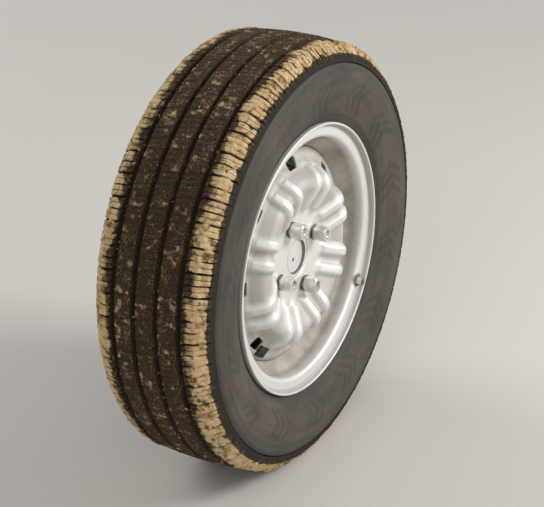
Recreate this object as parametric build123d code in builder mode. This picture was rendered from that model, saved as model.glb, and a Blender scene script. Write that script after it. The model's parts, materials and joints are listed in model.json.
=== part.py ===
"""Rear wheel corner of a small saloon car: tyre, pressed-steel wheel, hub, disc brake and stub axle.

Millimetres. +X points to the back of the car, +Y inboard and +Z up. The origin is the centre of
the stub axle's mounting face, on the spindle's axis, so the wheel lies at -Y.
"""
import os
from math import cos, radians, sin, tan

from build123d import *

# Rim, a five-inch J section of thirteen inches
bead_seat_r = 164.7
bead_seat_taper = 5.0
bead_seat_width = 20.0
rim_width = 127.0
rim_flange_height = 17.5
rim_flange_width = 11.0
rim_sheet = 3.0
rim_curl_r = 5.0
rim_corner_r = 4.0
well_depth = 16.7
well_width = 36.0
well_side = 13.0
well_bend_r = 7.0
wheel_inset = 46.5

# Wheel disc, pressed from one sheet
disc_sheet = 4.0
centre_bore_r = 29.1
flat_r = 66.0
crown_r = 104.5
crown_rise = 18.0
foot_r = 119.0
foot_drop = 4.5
edge_drop = 16.0
skirt_end = 50.0
bowl_bend_r = 14.0
crown_bend_r = 13.0
foot_bend_r = 10.0
edge_bend_r = 7.0

# Pressed ribs, two to a spoke
spoke_count = 8
spoke_turn = 20.0
rib_r = 9.0
rib_spacing = 27.0
rib_start_r = 52.0
rib_start_sink = 12.0
rib_crown_sink = 3.5
rib_end_r = 123.0
rib_end_sink = 12.0
rib_bend_r = 12.0

# Vents between the spokes
vent_inner_r = 121.0
vent_outer_r = 136.0
vent_inner_width = 20.0
vent_outer_width = 26.0
vent_corner_r = 3.5

# Wheel studs and nuts
stud_count = 4
stud_pitch_r = 49.0
stud_r = 6.0
stud_head_r = 9.0
stud_head = 4.0
stud_recess = 3.0
stud_clearance = 0.3
nut_flats = 19.0
nut_height = 21.0
nut_cone_r = 10.4
nut_cone_tip_r = 7.6
nut_cone_proud = 1.0
nut_cone = 4.4
nut_chamfer = 1.6

# Tyre
tyre_r = 289.0
tyre_shoulder_drop = 5.0
tyre_shoulder_in = 8.0
tyre_buttress_drop = 18.0
tyre_buttress_out = 5.5
tyre_bulge_drop = 61.0
tyre_bulge = 10.5
tyre_wall = 9.0
tyre_crown = 15.0
tyre_bead_width = 16.0
tyre_bead_height = 20.0
tyre_fit = 0.15
tyre_heel = 3.5
tyre_flange_rise = 14.0
tyre_lip_rise = 23.0
tyre_lip_out = 7.0
groove_count = 4
groove_pitch = 31.5
groove_width = 8.0
groove_floor = 4.0
groove_depth = 7.5

# Tyre valve and balance weight
valve_turn = 152.5
valve_r = 4.6
valve_gap = 0.3
valve_seat_r = 6.0
valve_seat = 3.0
valve_length = 18.0
valve_cap_r = 4.0
valve_cap = 9.0
weight_turn = -34.0
weight_width = 12.0
weight_height = 10.0
weight_thick = 5.0
weight_gap = 0.2

# Hub
hub_flange_r = 66.0
hub_flange = 10.0
hub_barrel_r = 37.0
hub_length = 62.0
hub_nose_r = 28.8
hub_nose = 7.5
hub_nose_bore_r = 24.5
hub_bore_r = 20.0

# Bearings, seal and spindle
outer_bearing_r = 22.5
outer_bearing = 15.0
outer_bearing_depth = 26.0
inner_bearing_r = 26.0
inner_bearing = 16.0
spindle_outer_r = 12.5
spindle_inner_r = 17.5
spindle_shoulder_r = 23.0
spindle_shoulder = 7.0
spindle_chamfer = 1.5
seal = 2.0
seal_gap = 0.3
running_fit = 0.05
axle_nut_flats = 27.0
axle_nut = 9.0
washer_r = 18.0
washer = 2.0

# Grease cap
cap_rim_r = 28.6
cap_sheet = 1.5
cap_dish = 4.0
cap_press_fit = 0.1
cap_hole_r = 1.4
cap_hole_x = -2.0
cap_hole_z = -5.0

# Stub axle's plate
plate_size = 104.0
plate_thick = 14.0
plate_corner_r = 20.0
plate_bolt_pitch_r = 48.0
plate_bolt_r = 5.25
lug_inner_r = 30.0
lug_outer_r = 76.0
lug_half = 52.0
lug_corner_r = 10.0
lug_setback = 4.0
shoulder_gap = 0.5

# Brake disc
rotor_r = 116.5
rotor_thick = 10.0
hat_r = 76.0
hat_wall = 6.0
hat_thick = 6.0
hat_depth = 48.0
hat_fit = 0.2

# Splash shield
shield_sheet = 1.5
shield_r = 124.0
shield_lip = 6.0
shield_bore_r = 38.6
shield_flat_r = 70.0
shield_dish_r = 88.0
shield_gap = 8.0
shield_bend_r = 4.0

# Disc brake pads and caliper, its middle on the radius at this turn
caliper_turn = 225.0
pad_inner_r = 78.0
pad_outer_r = 114.0
pad_half = 42.0
pad_back = 4.0
pad_lining = 7.0
pad_gap = 0.5
slide_gap = 0.4
finger_thick = 8.0
finger_outer_r = 126.0
finger_inner_r = 84.0
finger_slot_half = 13.0
finger_slot_r = 112.0
bridge_inner_r = 121.5
bridge_outer_r = 133.0
caliper_half = 38.0
caliper_back = 11.0
caliper_inner_r = 78.0
cylinder_r = 22.0
cylinder_centre_r = 100.0
cylinder_length = 31.0
piston_r = 16.5
piston_fit = 0.1
piston_wall = 4.0
piston_length = 20.0
ear_half = 60.0
ear_height = 17.0
ear_thick = 8.0
ear_corner_r = 8.4
ear_setback = 4.0
guide_half = 51.0
guide_centre_r = 105.0
guide_r = 4.5
guide_boot_r = 7.5
guide_head_r = 7.0
guide_head = 5.0
guide_fit = 0.1

# Caliper bracket
bracket_thick = 11.0
bracket_half = 62.0
bracket_base_inner_r = 56.0
bracket_base_outer_r = 76.0
bracket_outer_r = 133.0
arm_inner_r = 92.0
arm_clearance = 5.0
arm_overhang = 2.0
bracket_bolt_half = 40.0
bracket_bolt_centre_r = 66.0
bracket_bolt_r = 5.0
bracket_bolt_flats = 15.0
bracket_bolt_head = 6.5
shield_cut_gap = 4.0

# Hose port and bleed screw
port_r = 4.6
port_depth = 8.0
port_offset = -9.0
bleed_r = 3.5
bleed_offset = 10.0
bleed_length = 18.0
bleed_flats = 9.0
bleed_hex = 5.0

# Faces along the spindle's axis
plate_front = -plate_thick
hub_back = plate_front - spindle_shoulder
hub_front = hub_back - hub_length
hub_flange_back = hub_front + hub_flange
nose_front = hub_front - hub_nose
wheel_seat = hub_front - hat_thick
disc_front = wheel_seat - disc_sheet
rim_centre = wheel_seat + wheel_inset
rim_face = rim_centre - rim_width / 2 - rim_flange_width
rim_back = rim_centre + rim_width / 2 + rim_flange_width
rotor_back = wheel_seat + hat_depth
rotor_front = rotor_back - rotor_thick
nut_front = disc_front - nut_height
stud_front = nut_front + stud_recess
outer_bearing_back = hub_front + outer_bearing_depth
outer_bearing_front = outer_bearing_back - outer_bearing
inner_bearing_back = hub_back - seal
inner_bearing_front = inner_bearing_back - inner_bearing
washer_front = outer_bearing_front - washer
axle_nut_front = washer_front - axle_nut
inner_pad_front = rotor_back + pad_gap
inner_pad_back = inner_pad_front + pad_lining + pad_back
outer_pad_back = rotor_front - pad_gap
outer_pad_front = outer_pad_back - pad_lining - pad_back
finger_front = outer_pad_front - finger_thick
cylinder_back = inner_pad_back + pad_gap + cylinder_length
bracket_back = plate_front
bracket_front = bracket_back - bracket_thick
ear_back = cylinder_back - ear_setback
ear_front = ear_back - ear_thick
disc_outer_r = bead_seat_r - well_depth - rim_sheet


def facing(angle, y=0.0):
    """A plane square to the spindle at y, its x along the radius at the angle, its z inboard."""
    turn = radians(angle)
    return Plane(origin=(0, y, 0), x_dir=(cos(turn), 0, sin(turn)), z_dir=(0, 1, 0))


def section(angle, shift=0.0):
    """A plane along the spindle through the radius at the angle, its y inboard, moved sideways."""
    turn = radians(angle)
    along = Plane(origin=(0, 0, 0), x_dir=(cos(turn), 0, sin(turn)), z_dir=(-sin(turn), 0, cos(turn)))
    return along.offset(shift)


def ring(outer_r, inner_r, front, back):
    """A plain ring about the spindle."""
    with BuildPart() as made:
        with BuildSketch(facing(0, front)):
            Circle(outer_r)
            Circle(inner_r, mode=Mode.SUBTRACT)
        extrude(amount=back - front)
    return made.part


def band(angle, front, back, outer_r, half, inner_r=0.0, start=0.0, gap_half=0.0):
    """A block on the radius at the angle, round outside and round or straight inside, with a gap."""
    with BuildPart() as made:
        with BuildSketch(facing(angle, front)):
            Circle(outer_r)
            if inner_r:
                Circle(inner_r, mode=Mode.SUBTRACT)
            with Locations(((start + outer_r) / 2, 0)):
                Rectangle(outer_r - start, 2 * half, mode=Mode.INTERSECT)
            if gap_half:
                with Locations((outer_r, 0)):
                    Rectangle(2 * outer_r, 2 * gap_half, mode=Mode.SUBTRACT)
        extrude(amount=back - front)
    return made.part


def save(part, name):
    part.label = name
    export_step(part, f"parts/{name}.step")


os.makedirs("parts", exist_ok=True)

# Rim: one sheet section from lip to lip, spun round
lip_r = bead_seat_r + rim_flange_height - rim_sheet / 2
wall_out = rim_face + rim_flange_width - rim_sheet / 2
wall_in = rim_back - rim_flange_width + rim_sheet / 2
seat_r = bead_seat_r - rim_sheet / 2
seat_end_r = seat_r - bead_seat_width * tan(radians(bead_seat_taper))
seat_end_out = wall_out + bead_seat_width
seat_end_in = wall_in - bead_seat_width
well_mid_r = bead_seat_r - well_depth - rim_sheet / 2
well_out = seat_end_out + well_side
well_in = well_out + well_width
well_r = bead_seat_r - well_depth
valve_centre_r = well_r + valve_seat_r + valve_gap

with BuildPart() as rim:
    with BuildSketch(Plane.XY):
        with BuildLine():
            FilletPolyline(
                (lip_r, rim_face),
                (lip_r, wall_out),
                (seat_r, wall_out),
                (seat_end_r, seat_end_out),
                (well_mid_r, well_out),
                (well_mid_r, well_in),
                (seat_end_r, seat_end_in),
                (seat_r, wall_in),
                (lip_r, wall_in),
                (lip_r, rim_back),
                radius=(rim_curl_r, rim_corner_r) + (well_bend_r,) * 4 + (rim_corner_r, rim_curl_r),
            )
        trace(line_width=rim_sheet)
    revolve(axis=Axis.Y)
    with BuildSketch(facing(valve_turn, seat_end_out - rim_sheet)):
        with Locations((valve_centre_r, 0)):
            Circle(valve_r + valve_gap)
    extrude(amount=well_side + 2 * rim_sheet, mode=Mode.SUBTRACT)
save(rim.part, "rim")


def pressed(inset):
    """The wheel disc filled up to one skin: the sheet's front, or its back at one thickness in."""
    crown_y = disc_front - crown_rise
    foot_y = disc_front + foot_drop
    deep = skirt_back + 2 * disc_sheet
    with BuildPart() as form:
        with BuildSketch(Plane.XY):
            with BuildLine():
                FilletPolyline(
                    (0, disc_front),
                    (flat_r, disc_front),
                    (crown_r, crown_y),
                    (foot_r, foot_y),
                    (disc_outer_r, disc_front + edge_drop),
                    (disc_outer_r, deep),
                    (0, deep),
                    close=True,
                    radius=(0, bowl_bend_r, crown_bend_r, foot_bend_r, edge_bend_r, 0, 0),
                )
            make_face()
            if inset:
                offset(amount=-inset)
        revolve(axis=Axis.Y)
        for spoke in range(spoke_count):
            turn = spoke_turn + 360 * spoke / spoke_count
            for side in (-1, 1):
                with BuildLine(section(turn, side * rib_spacing / 2)) as path:
                    FilletPolyline(
                        (rib_start_r, disc_front + rib_start_sink),
                        (crown_r, crown_y + rib_crown_sink),
                        (rib_end_r, foot_y + rib_end_sink),
                        radius=rib_bend_r,
                    )
                with BuildSketch(Plane(origin=path.line @ 0, z_dir=path.line % 0)):
                    Circle(rib_r - inset)
                sweep(path=path.line)
    return form.part


def stud_axis(index):
    """The axis of one wheel stud and the turn that it stands at."""
    turn = spoke_turn + 360 * index / stud_count
    centre = facing(turn).from_local_coords((stud_pitch_r, 0))
    return turn, Axis(centre, (0, 1, 0))


# Wheel disc: what lies between the two skins, with the vents, the nut seats and the bore cut
skirt_back = disc_front + skirt_end
disc_front_form = pressed(0)
disc_back_form = pressed(disc_sheet)
with BuildPart() as wheel_disc:
    add(disc_front_form)
    add(disc_back_form, mode=Mode.SUBTRACT)
    with BuildSketch(facing(0, skirt_back)):
        Circle(2 * disc_outer_r)
    extrude(amount=4 * disc_sheet, mode=Mode.SUBTRACT)
    with BuildSketch(facing(0, disc_front - crown_rise)):
        Circle(centre_bore_r)
    extrude(amount=crown_rise + skirt_end + 4 * disc_sheet, mode=Mode.SUBTRACT)
    for vent in range(spoke_count):
        turn = spoke_turn + 360 * (vent + 0.5) / spoke_count
        with BuildSketch(facing(turn, disc_front - crown_rise)):
            with BuildLine():
                FilletPolyline(
                    (vent_inner_r, -vent_inner_width / 2),
                    (vent_outer_r, -vent_outer_width / 2),
                    (vent_outer_r, vent_outer_width / 2),
                    (vent_inner_r, vent_inner_width / 2),
                    close=True,
                    radius=vent_corner_r,
                )
            make_face()
        extrude(amount=crown_rise + skirt_end, mode=Mode.SUBTRACT)
    for stud in range(stud_count):
        turn, axis = stud_axis(stud)
        with BuildSketch(section(turn)):
            with BuildLine():
                Polyline(
                    (stud_pitch_r, disc_front - nut_cone_proud),
                    (stud_pitch_r + nut_cone_r, disc_front - nut_cone_proud),
                    (stud_pitch_r + nut_cone_tip_r, disc_front - nut_cone_proud + nut_cone),
                    (stud_pitch_r + nut_cone_tip_r, wheel_seat + disc_sheet),
                    (stud_pitch_r, wheel_seat + disc_sheet),
                    close=True,
                )
            make_face()
        revolve(axis=axis, mode=Mode.SUBTRACT)
save(wheel_disc.part, "wheel_disc")

# Wheel studs and nuts
for stud in range(stud_count):
    turn, axis = stud_axis(stud)
    with BuildPart() as wheel_stud:
        with BuildSketch(facing(turn, stud_front)):
            with Locations((stud_pitch_r, 0)):
                Circle(stud_r)
        extrude(amount=hub_flange_back + stud_head - stud_front)
        with BuildSketch(facing(turn, hub_flange_back)):
            with Locations((stud_pitch_r, 0)):
                Circle(stud_head_r)
        extrude(amount=stud_head)
    save(wheel_stud.part, f"wheel_stud_{stud + 1}")
    with BuildPart() as wheel_nut:
        with BuildSketch(facing(turn, nut_front)):
            with Locations((stud_pitch_r, 0)):
                RegularPolygon(nut_flats / 2, 6, major_radius=False)
        extrude(amount=nut_height - nut_cone_proud)
        with BuildSketch(section(turn)):
            with BuildLine():
                Polyline(
                    (stud_pitch_r, nut_front),
                    (stud_pitch_r + nut_flats / 2, nut_front),
                    (stud_pitch_r + nut_flats / 2 + nut_chamfer, nut_front + nut_chamfer),
                    (stud_pitch_r + nut_flats / 2 + nut_chamfer, disc_front - nut_cone_proud),
                    (stud_pitch_r, disc_front - nut_cone_proud),
                    close=True,
                )
            make_face()
        revolve(axis=axis, mode=Mode.INTERSECT)
        with BuildSketch(section(turn)):
            with BuildLine():
                Polyline(
                    (stud_pitch_r, disc_front - 2 * nut_cone_proud),
                    (stud_pitch_r + nut_cone_r, disc_front - 2 * nut_cone_proud),
                    (stud_pitch_r + nut_cone_r, disc_front - nut_cone_proud),
                    (stud_pitch_r + nut_cone_tip_r, disc_front - nut_cone_proud + nut_cone),
                    (stud_pitch_r, disc_front - nut_cone_proud + nut_cone),
                    close=True,
                )
            make_face()
        revolve(axis=axis)
        with BuildSketch(facing(turn, nut_front)):
            with Locations((stud_pitch_r, 0)):
                Circle(stud_r + stud_clearance)
        extrude(amount=nut_height + nut_cone, mode=Mode.SUBTRACT)
    save(wheel_nut.part, f"wheel_nut_{stud + 1}")

# Tyre: one half of its section, mirrored and spun, then its grooves
tyre_shoulder_r = tyre_r - tyre_shoulder_drop
tyre_buttress_r = tyre_r - tyre_buttress_drop
tyre_bulge_r = tyre_r - tyre_bulge_drop
bead_face = rim_face + rim_flange_width
tread_half_width = rim_centre - rim_face - tyre_shoulder_in
with BuildPart() as tyre:
    with BuildSketch(Plane.XY):
        with BuildLine():
            toe_r = bead_seat_r - tyre_bead_width * tan(radians(bead_seat_taper)) + tyre_fit
            toe = (toe_r, bead_face + tyre_bead_width)
            heel_in = (bead_seat_r + tyre_fit, bead_face + tyre_heel)
            heel_out = (bead_seat_r + tyre_heel, bead_face + tyre_fit)
            flange_top = (bead_seat_r + tyre_flange_rise, bead_face + tyre_fit)
            flange_out = (bead_seat_r + tyre_lip_rise, bead_face - tyre_lip_out)
            bulge = (tyre_bulge_r, rim_face - tyre_bulge)
            buttress = (tyre_buttress_r, rim_face - tyre_buttress_out)
            shoulder = (tyre_shoulder_r, rim_face + tyre_shoulder_in)
            crown_mid_r = tyre_r - (tyre_r - tyre_shoulder_r) / 4
            crown_mid = (crown_mid_r, rim_centre - tread_half_width / 2)
            crown = (tyre_r, rim_centre)
            Polyline(toe, heel_in, heel_out, flange_top, flange_out)
            ThreePointArc(flange_out, bulge, buttress)
            Polyline(
                buttress,
                shoulder,
                crown_mid,
                crown,
                (tyre_r - tyre_crown, rim_centre),
                (tyre_shoulder_r - tyre_crown, rim_face + tyre_shoulder_in + tyre_wall),
                (tyre_bulge_r, rim_face - tyre_bulge + tyre_wall),
                (toe_r + tyre_bead_height, bead_face + tyre_bead_width / 2),
                toe,
            )
        make_face()
        mirror(about=Plane.XZ.offset(-rim_centre))
    revolve(axis=Axis.Y)
    with BuildSketch(Plane.XY):
        for groove in range(groove_count):
            groove_y = rim_centre + groove_pitch * (groove - (groove_count - 1) / 2)
            with BuildLine():
                Polyline(
                    (tyre_r - groove_depth, groove_y - groove_floor / 2),
                    (tyre_r - groove_depth, groove_y + groove_floor / 2),
                    (tyre_r + groove_depth, groove_y + groove_width - groove_floor / 2),
                    (tyre_r + groove_depth, groove_y - groove_width + groove_floor / 2),
                    close=True,
                )
            make_face()
    revolve(axis=Axis.Y, mode=Mode.SUBTRACT)
save(tyre.part, "tyre")

# Tyre valve, through the sloping side of the well
valve_inside = well_out + rim_sheet
valve_tip = valve_inside - valve_length
with BuildPart() as valve_stem:
    with BuildSketch(facing(valve_turn, valve_tip)):
        with Locations((valve_centre_r, 0)):
            Circle(valve_r)
    extrude(amount=valve_length)
    with BuildSketch(facing(valve_turn, valve_inside)):
        with Locations((valve_centre_r, 0)):
            Circle(valve_seat_r)
    extrude(amount=valve_seat)
save(valve_stem.part, "valve_stem")
with BuildPart() as valve_cap_body:
    with BuildSketch(facing(valve_turn, valve_tip)):
        with Locations((valve_centre_r, 0)):
            Circle(valve_cap_r)
    extrude(amount=-valve_cap)
    chamfer(valve_cap_body.faces().sort_by(Axis.Y)[0].edges(), valve_cap_r / 4)
save(valve_cap_body.part, "valve_cap")

# Balance weight in the flange's hollow
weight_back = wall_out - rim_sheet / 2
weight_front = weight_back - weight_thick
weight_outer_r = lip_r - rim_curl_r - weight_gap
weight_inner_r = weight_outer_r - weight_height
save(
    band(weight_turn, weight_front, weight_back, weight_outer_r, weight_width / 2, inner_r=weight_inner_r),
    "balance_weight",
)

# Hub: flange, nose and barrel in one forging
with BuildPart() as hub:
    with BuildSketch(Plane.XY):
        with BuildLine():
            Polyline(
                (hub_nose_bore_r, nose_front),
                (hub_nose_r, nose_front),
                (hub_nose_r, hub_front),
                (hub_flange_r, hub_front),
                (hub_flange_r, hub_flange_back),
                (hub_barrel_r, hub_flange_back),
                (hub_barrel_r, hub_back),
                (inner_bearing_r, hub_back),
                (inner_bearing_r, inner_bearing_front),
                (hub_bore_r, inner_bearing_front),
                (hub_bore_r, outer_bearing_back),
                (outer_bearing_r, outer_bearing_back),
                (outer_bearing_r, washer_front),
                (hub_nose_bore_r, washer_front),
                close=True,
            )
        make_face()
    revolve(axis=Axis.Y)
    for stud in range(stud_count):
        turn, axis = stud_axis(stud)
        with BuildSketch(facing(turn, hub_front)):
            with Locations((stud_pitch_r, 0)):
                Circle(stud_r)
        extrude(amount=hub_flange, mode=Mode.SUBTRACT)
save(hub.part, "hub")

# Bearings and seal, each one ring
outer_bore_r = spindle_outer_r + running_fit
inner_bore_r = spindle_inner_r + running_fit
save(ring(outer_bearing_r, outer_bore_r, outer_bearing_front, outer_bearing_back), "outer_bearing")
save(ring(inner_bearing_r, inner_bore_r, inner_bearing_front, inner_bearing_back), "inner_bearing")
save(ring(inner_bearing_r, spindle_inner_r + seal_gap, inner_bearing_back, hub_back), "hub_seal")

# Grease cap, a dished pressing in the hub's nose
cap_front = nose_front - cap_sheet
cap_floor = cap_front + cap_dish
cap_wall_r = hub_nose_bore_r - cap_press_fit
with BuildPart() as grease_cap:
    with BuildSketch(Plane.XY):
        with BuildLine():
            Polyline(
                (0, cap_floor),
                (cap_wall_r - cap_sheet, cap_floor),
                (cap_wall_r - cap_sheet, cap_front),
                (cap_rim_r, cap_front),
                (cap_rim_r, nose_front),
                (cap_wall_r, nose_front),
                (cap_wall_r, cap_floor + cap_sheet),
                (0, cap_floor + cap_sheet),
                close=True,
            )
        make_face()
    revolve(axis=Axis.Y)
    with BuildSketch(facing(0, cap_front)):
        with Locations((cap_hole_x, -cap_hole_z)):
            Circle(cap_hole_r)
    extrude(amount=cap_dish + cap_sheet, mode=Mode.SUBTRACT)
save(grease_cap.part, "grease_cap")

# Stub axle: spindle, plate and the caliper's lug
spindle_tip = axle_nut_front - shoulder_gap
bolt_spots = [(bracket_bolt_centre_r, bracket_bolt_half * side) for side in (-1, 1)]
with BuildPart() as stub_axle:
    with BuildSketch(facing(0, plate_front)):
        RectangleRounded(plate_size, plate_size, plate_corner_r)
    extrude(amount=plate_thick)
    with BuildSketch(facing(caliper_turn, plate_front)):
        with Locations(((lug_inner_r + lug_outer_r) / 2, 0)):
            RectangleRounded(lug_outer_r - lug_inner_r, 2 * lug_half, lug_corner_r)
    extrude(amount=plate_thick - lug_setback)
    with BuildSketch(Plane.XY):
        with BuildLine():
            Polyline(
                (0, spindle_tip),
                (spindle_outer_r - spindle_chamfer, spindle_tip),
                (spindle_outer_r, spindle_tip + spindle_chamfer),
                (spindle_outer_r, outer_bearing_back + shoulder_gap),
                (spindle_inner_r, inner_bearing_front - shoulder_gap),
                (spindle_inner_r, hub_back + shoulder_gap),
                (spindle_shoulder_r, hub_back + shoulder_gap),
                (spindle_shoulder_r, plate_front),
                (0, plate_front),
                close=True,
            )
        make_face()
    revolve(axis=Axis.Y)
    with BuildSketch(facing(45, plate_front)):
        with PolarLocations(plate_bolt_pitch_r, 4):
            Circle(plate_bolt_r)
    extrude(amount=plate_thick, mode=Mode.SUBTRACT)
    with BuildSketch(facing(caliper_turn, plate_front)):
        with Locations(*bolt_spots):
            Circle(bracket_bolt_r)
    extrude(amount=plate_thick, mode=Mode.SUBTRACT)
save(stub_axle.part, "stub_axle")

# Axle nut and washer on the spindle's tip
save(ring(washer_r, spindle_outer_r, washer_front, outer_bearing_front), "axle_washer")
with BuildPart() as axle_nut_body:
    with BuildSketch(facing(0, axle_nut_front)):
        RegularPolygon(axle_nut_flats / 2, 6, major_radius=False)
        Circle(spindle_outer_r, mode=Mode.SUBTRACT)
    extrude(amount=axle_nut)
save(axle_nut_body.part, "axle_nut")

# Brake disc: hat and rubbing ring
with BuildPart() as brake_disc:
    with BuildSketch(Plane.XY):
        with BuildLine():
            Polyline(
                (hub_nose_r + hat_fit, wheel_seat),
                (hat_r, wheel_seat),
                (hat_r, rotor_front),
                (rotor_r, rotor_front),
                (rotor_r, rotor_back),
                (hat_r - hat_wall, rotor_back),
                (hat_r - hat_wall, hub_front),
                (hub_nose_r + hat_fit, hub_front),
                close=True,
            )
        make_face()
    revolve(axis=Axis.Y)
    for stud in range(stud_count):
        turn, axis = stud_axis(stud)
        with BuildSketch(facing(turn, wheel_seat)):
            with Locations((stud_pitch_r, 0)):
                Circle(stud_r + stud_clearance)
        extrude(amount=hat_thick, mode=Mode.SUBTRACT)
save(brake_disc.part, "brake_disc")

# Splash shield: a dished sheet between plate and brake disc, open at the caliper
shield_mid = plate_front - shield_sheet / 2
shield_face = rotor_back + shield_gap + shield_sheet / 2
cut_inner = bracket_base_inner_r - shield_cut_gap
with BuildPart() as splash_shield:
    with BuildSketch(Plane.XY):
        with BuildLine():
            FilletPolyline(
                (shield_bore_r, shield_mid),
                (shield_flat_r, shield_mid),
                (shield_dish_r, shield_face),
                (shield_r, shield_face),
                (shield_r, shield_face + shield_lip),
                radius=(shield_bend_r, shield_bend_r, shield_bend_r),
            )
        trace(line_width=shield_sheet)
    revolve(axis=Axis.Y)
    with BuildSketch(facing(45, plate_front - shield_sheet)):
        with PolarLocations(plate_bolt_pitch_r, 4):
            Circle(plate_bolt_r)
    extrude(amount=shield_sheet, mode=Mode.SUBTRACT)
    with BuildSketch(facing(caliper_turn, rotor_back)):
        with Locations((cut_inner + shield_r, 0)):
            Rectangle(2 * shield_r, 2 * (bracket_half + shield_cut_gap))
    extrude(amount=plate_front - rotor_back, mode=Mode.SUBTRACT)
save(splash_shield.part, "splash_shield")

# Brake pads
for front, back, name in (
    (inner_pad_front, inner_pad_back, "brake_pad_inner"),
    (outer_pad_front, outer_pad_back, "brake_pad_outer"),
):
    save(band(caliper_turn, front, back, pad_outer_r, pad_half, inner_r=pad_inner_r), name)

# Caliper bracket: a bar on the lug and two arms that reach over the brake disc's edge
arm_half = pad_half + slide_gap
arm_front = outer_pad_front - arm_overhang
guide_spots = [(guide_centre_r, guide_half * side) for side in (-1, 1)]
with BuildPart() as bracket:
    with BuildSketch(facing(caliper_turn, bracket_front)):
        with Locations(((bracket_base_inner_r + bracket_base_outer_r) / 2, 0)):
            Rectangle(bracket_base_outer_r - bracket_base_inner_r, 2 * bracket_half)
    extrude(amount=bracket_thick)
    for front, back, inner_r, start in (
        (rotor_back + arm_clearance, bracket_back, 0, bracket_base_inner_r),
        (arm_front, bracket_back, bridge_inner_r, 0),
        (arm_front, rotor_front - arm_clearance, 0, arm_inner_r),
    ):
        add(band(caliper_turn, front, back, bracket_outer_r, bracket_half, inner_r, start, arm_half))
    with BuildSketch(facing(caliper_turn, bracket_front)):
        with Locations(*bolt_spots):
            Circle(bracket_bolt_r)
        with Locations(*guide_spots):
            Circle(guide_r + guide_fit)
    extrude(amount=bracket_thick, mode=Mode.SUBTRACT)
save(bracket.part, "caliper_bracket")

# Sliding caliper: cylinder, bridge over the brake disc's edge, fingers behind the outer pad
caliper_face = inner_pad_back + pad_gap
caliper_wall = caliper_face + caliper_back
with BuildPart() as caliper:
    for front, back, outer_r, inner_r, start in (
        (caliper_face, caliper_wall, bridge_outer_r, 0, caliper_inner_r),
        (outer_pad_front, caliper_wall, bridge_outer_r, bridge_inner_r, 0),
        (finger_front, outer_pad_front, finger_outer_r, 0, finger_inner_r),
    ):
        add(band(caliper_turn, front, back, outer_r, caliper_half, inner_r, start))
    with BuildSketch(facing(caliper_turn, caliper_face)):
        with Locations((cylinder_centre_r, 0)):
            Circle(cylinder_r)
    extrude(amount=cylinder_length)
    with BuildSketch(facing(caliper_turn, ear_front)):
        with Locations((guide_centre_r, 0)):
            RectangleRounded(ear_height, 2 * ear_half, ear_corner_r)
    extrude(amount=ear_thick)
    with BuildSketch(facing(caliper_turn, finger_front)):
        with Locations(((finger_inner_r + finger_slot_r) / 2, 0)):
            Rectangle(finger_slot_r - finger_inner_r, 2 * finger_slot_half)
    extrude(amount=finger_thick, mode=Mode.SUBTRACT)
    with BuildSketch(facing(caliper_turn, caliper_face)):
        with Locations((cylinder_centre_r, 0)):
            Circle(piston_r + piston_fit)
    extrude(amount=piston_length, mode=Mode.SUBTRACT)
    with BuildSketch(facing(caliper_turn, ear_front)):
        with Locations(*guide_spots):
            Circle(guide_r)
    extrude(amount=ear_thick, mode=Mode.SUBTRACT)
    with BuildSketch(facing(caliper_turn, cylinder_back)):
        with Locations((cylinder_centre_r, port_offset)):
            Circle(port_r)
        with Locations((cylinder_centre_r, bleed_offset)):
            Circle(bleed_r)
    extrude(amount=-port_depth, mode=Mode.SUBTRACT)
save(caliper.part, "caliper_body")

# Piston, a cup against the inner pad
with BuildPart() as piston:
    with BuildSketch(facing(caliper_turn, inner_pad_back)):
        with Locations((cylinder_centre_r, 0)):
            Circle(piston_r)
    extrude(amount=piston_length)
    with BuildSketch(facing(caliper_turn, inner_pad_back)):
        with Locations((cylinder_centre_r, 0)):
            Circle(piston_r - piston_wall)
    extrude(amount=piston_length - piston_wall, mode=Mode.SUBTRACT)
save(piston.part, "caliper_piston")

# Guide pins with their boots, and the bolts that hold the bracket
for spot in range(2):
    with BuildPart() as guide_pin:
        with BuildSketch(facing(caliper_turn, bracket_front)):
            with Locations(guide_spots[spot]):
                Circle(guide_r)
        extrude(amount=ear_back - bracket_front)
        with BuildSketch(facing(caliper_turn, ear_back)):
            with Locations(guide_spots[spot]):
                RegularPolygon(guide_head_r, 6)
        extrude(amount=guide_head)
    save(guide_pin.part, f"guide_pin_{spot + 1}")
    with BuildPart() as guide_boot:
        with BuildSketch(facing(caliper_turn, bracket_back)):
            with Locations(guide_spots[spot]):
                Circle(guide_boot_r)
                Circle(guide_r, mode=Mode.SUBTRACT)
        extrude(amount=ear_front - bracket_back)
    save(guide_boot.part, f"guide_boot_{spot + 1}")
    with BuildPart() as bracket_bolt:
        with BuildSketch(facing(caliper_turn, bracket_front)):
            with Locations(bolt_spots[spot]):
                Circle(bracket_bolt_r)
        extrude(amount=-lug_setback - bracket_front)
        with BuildSketch(facing(caliper_turn, -lug_setback)):
            with Locations(bolt_spots[spot]):
                RegularPolygon(bracket_bolt_flats / 2, 6, major_radius=False)
        extrude(amount=bracket_bolt_head)
    save(bracket_bolt.part, f"bracket_bolt_{spot + 1}")

# Bleed screw in the top of the cylinder's end
with BuildPart() as bleed_screw:
    with BuildSketch(facing(caliper_turn, cylinder_back - port_depth)):
        with Locations((cylinder_centre_r, bleed_offset)):
            Circle(bleed_r)
    extrude(amount=bleed_length)
    with BuildSketch(facing(caliper_turn, cylinder_back)):
        with Locations((cylinder_centre_r, bleed_offset)):
            RegularPolygon(bleed_flats / 2, 6, major_radius=False)
    extrude(amount=bleed_hex)
save(bleed_screw.part, "bleed_screw")
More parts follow.
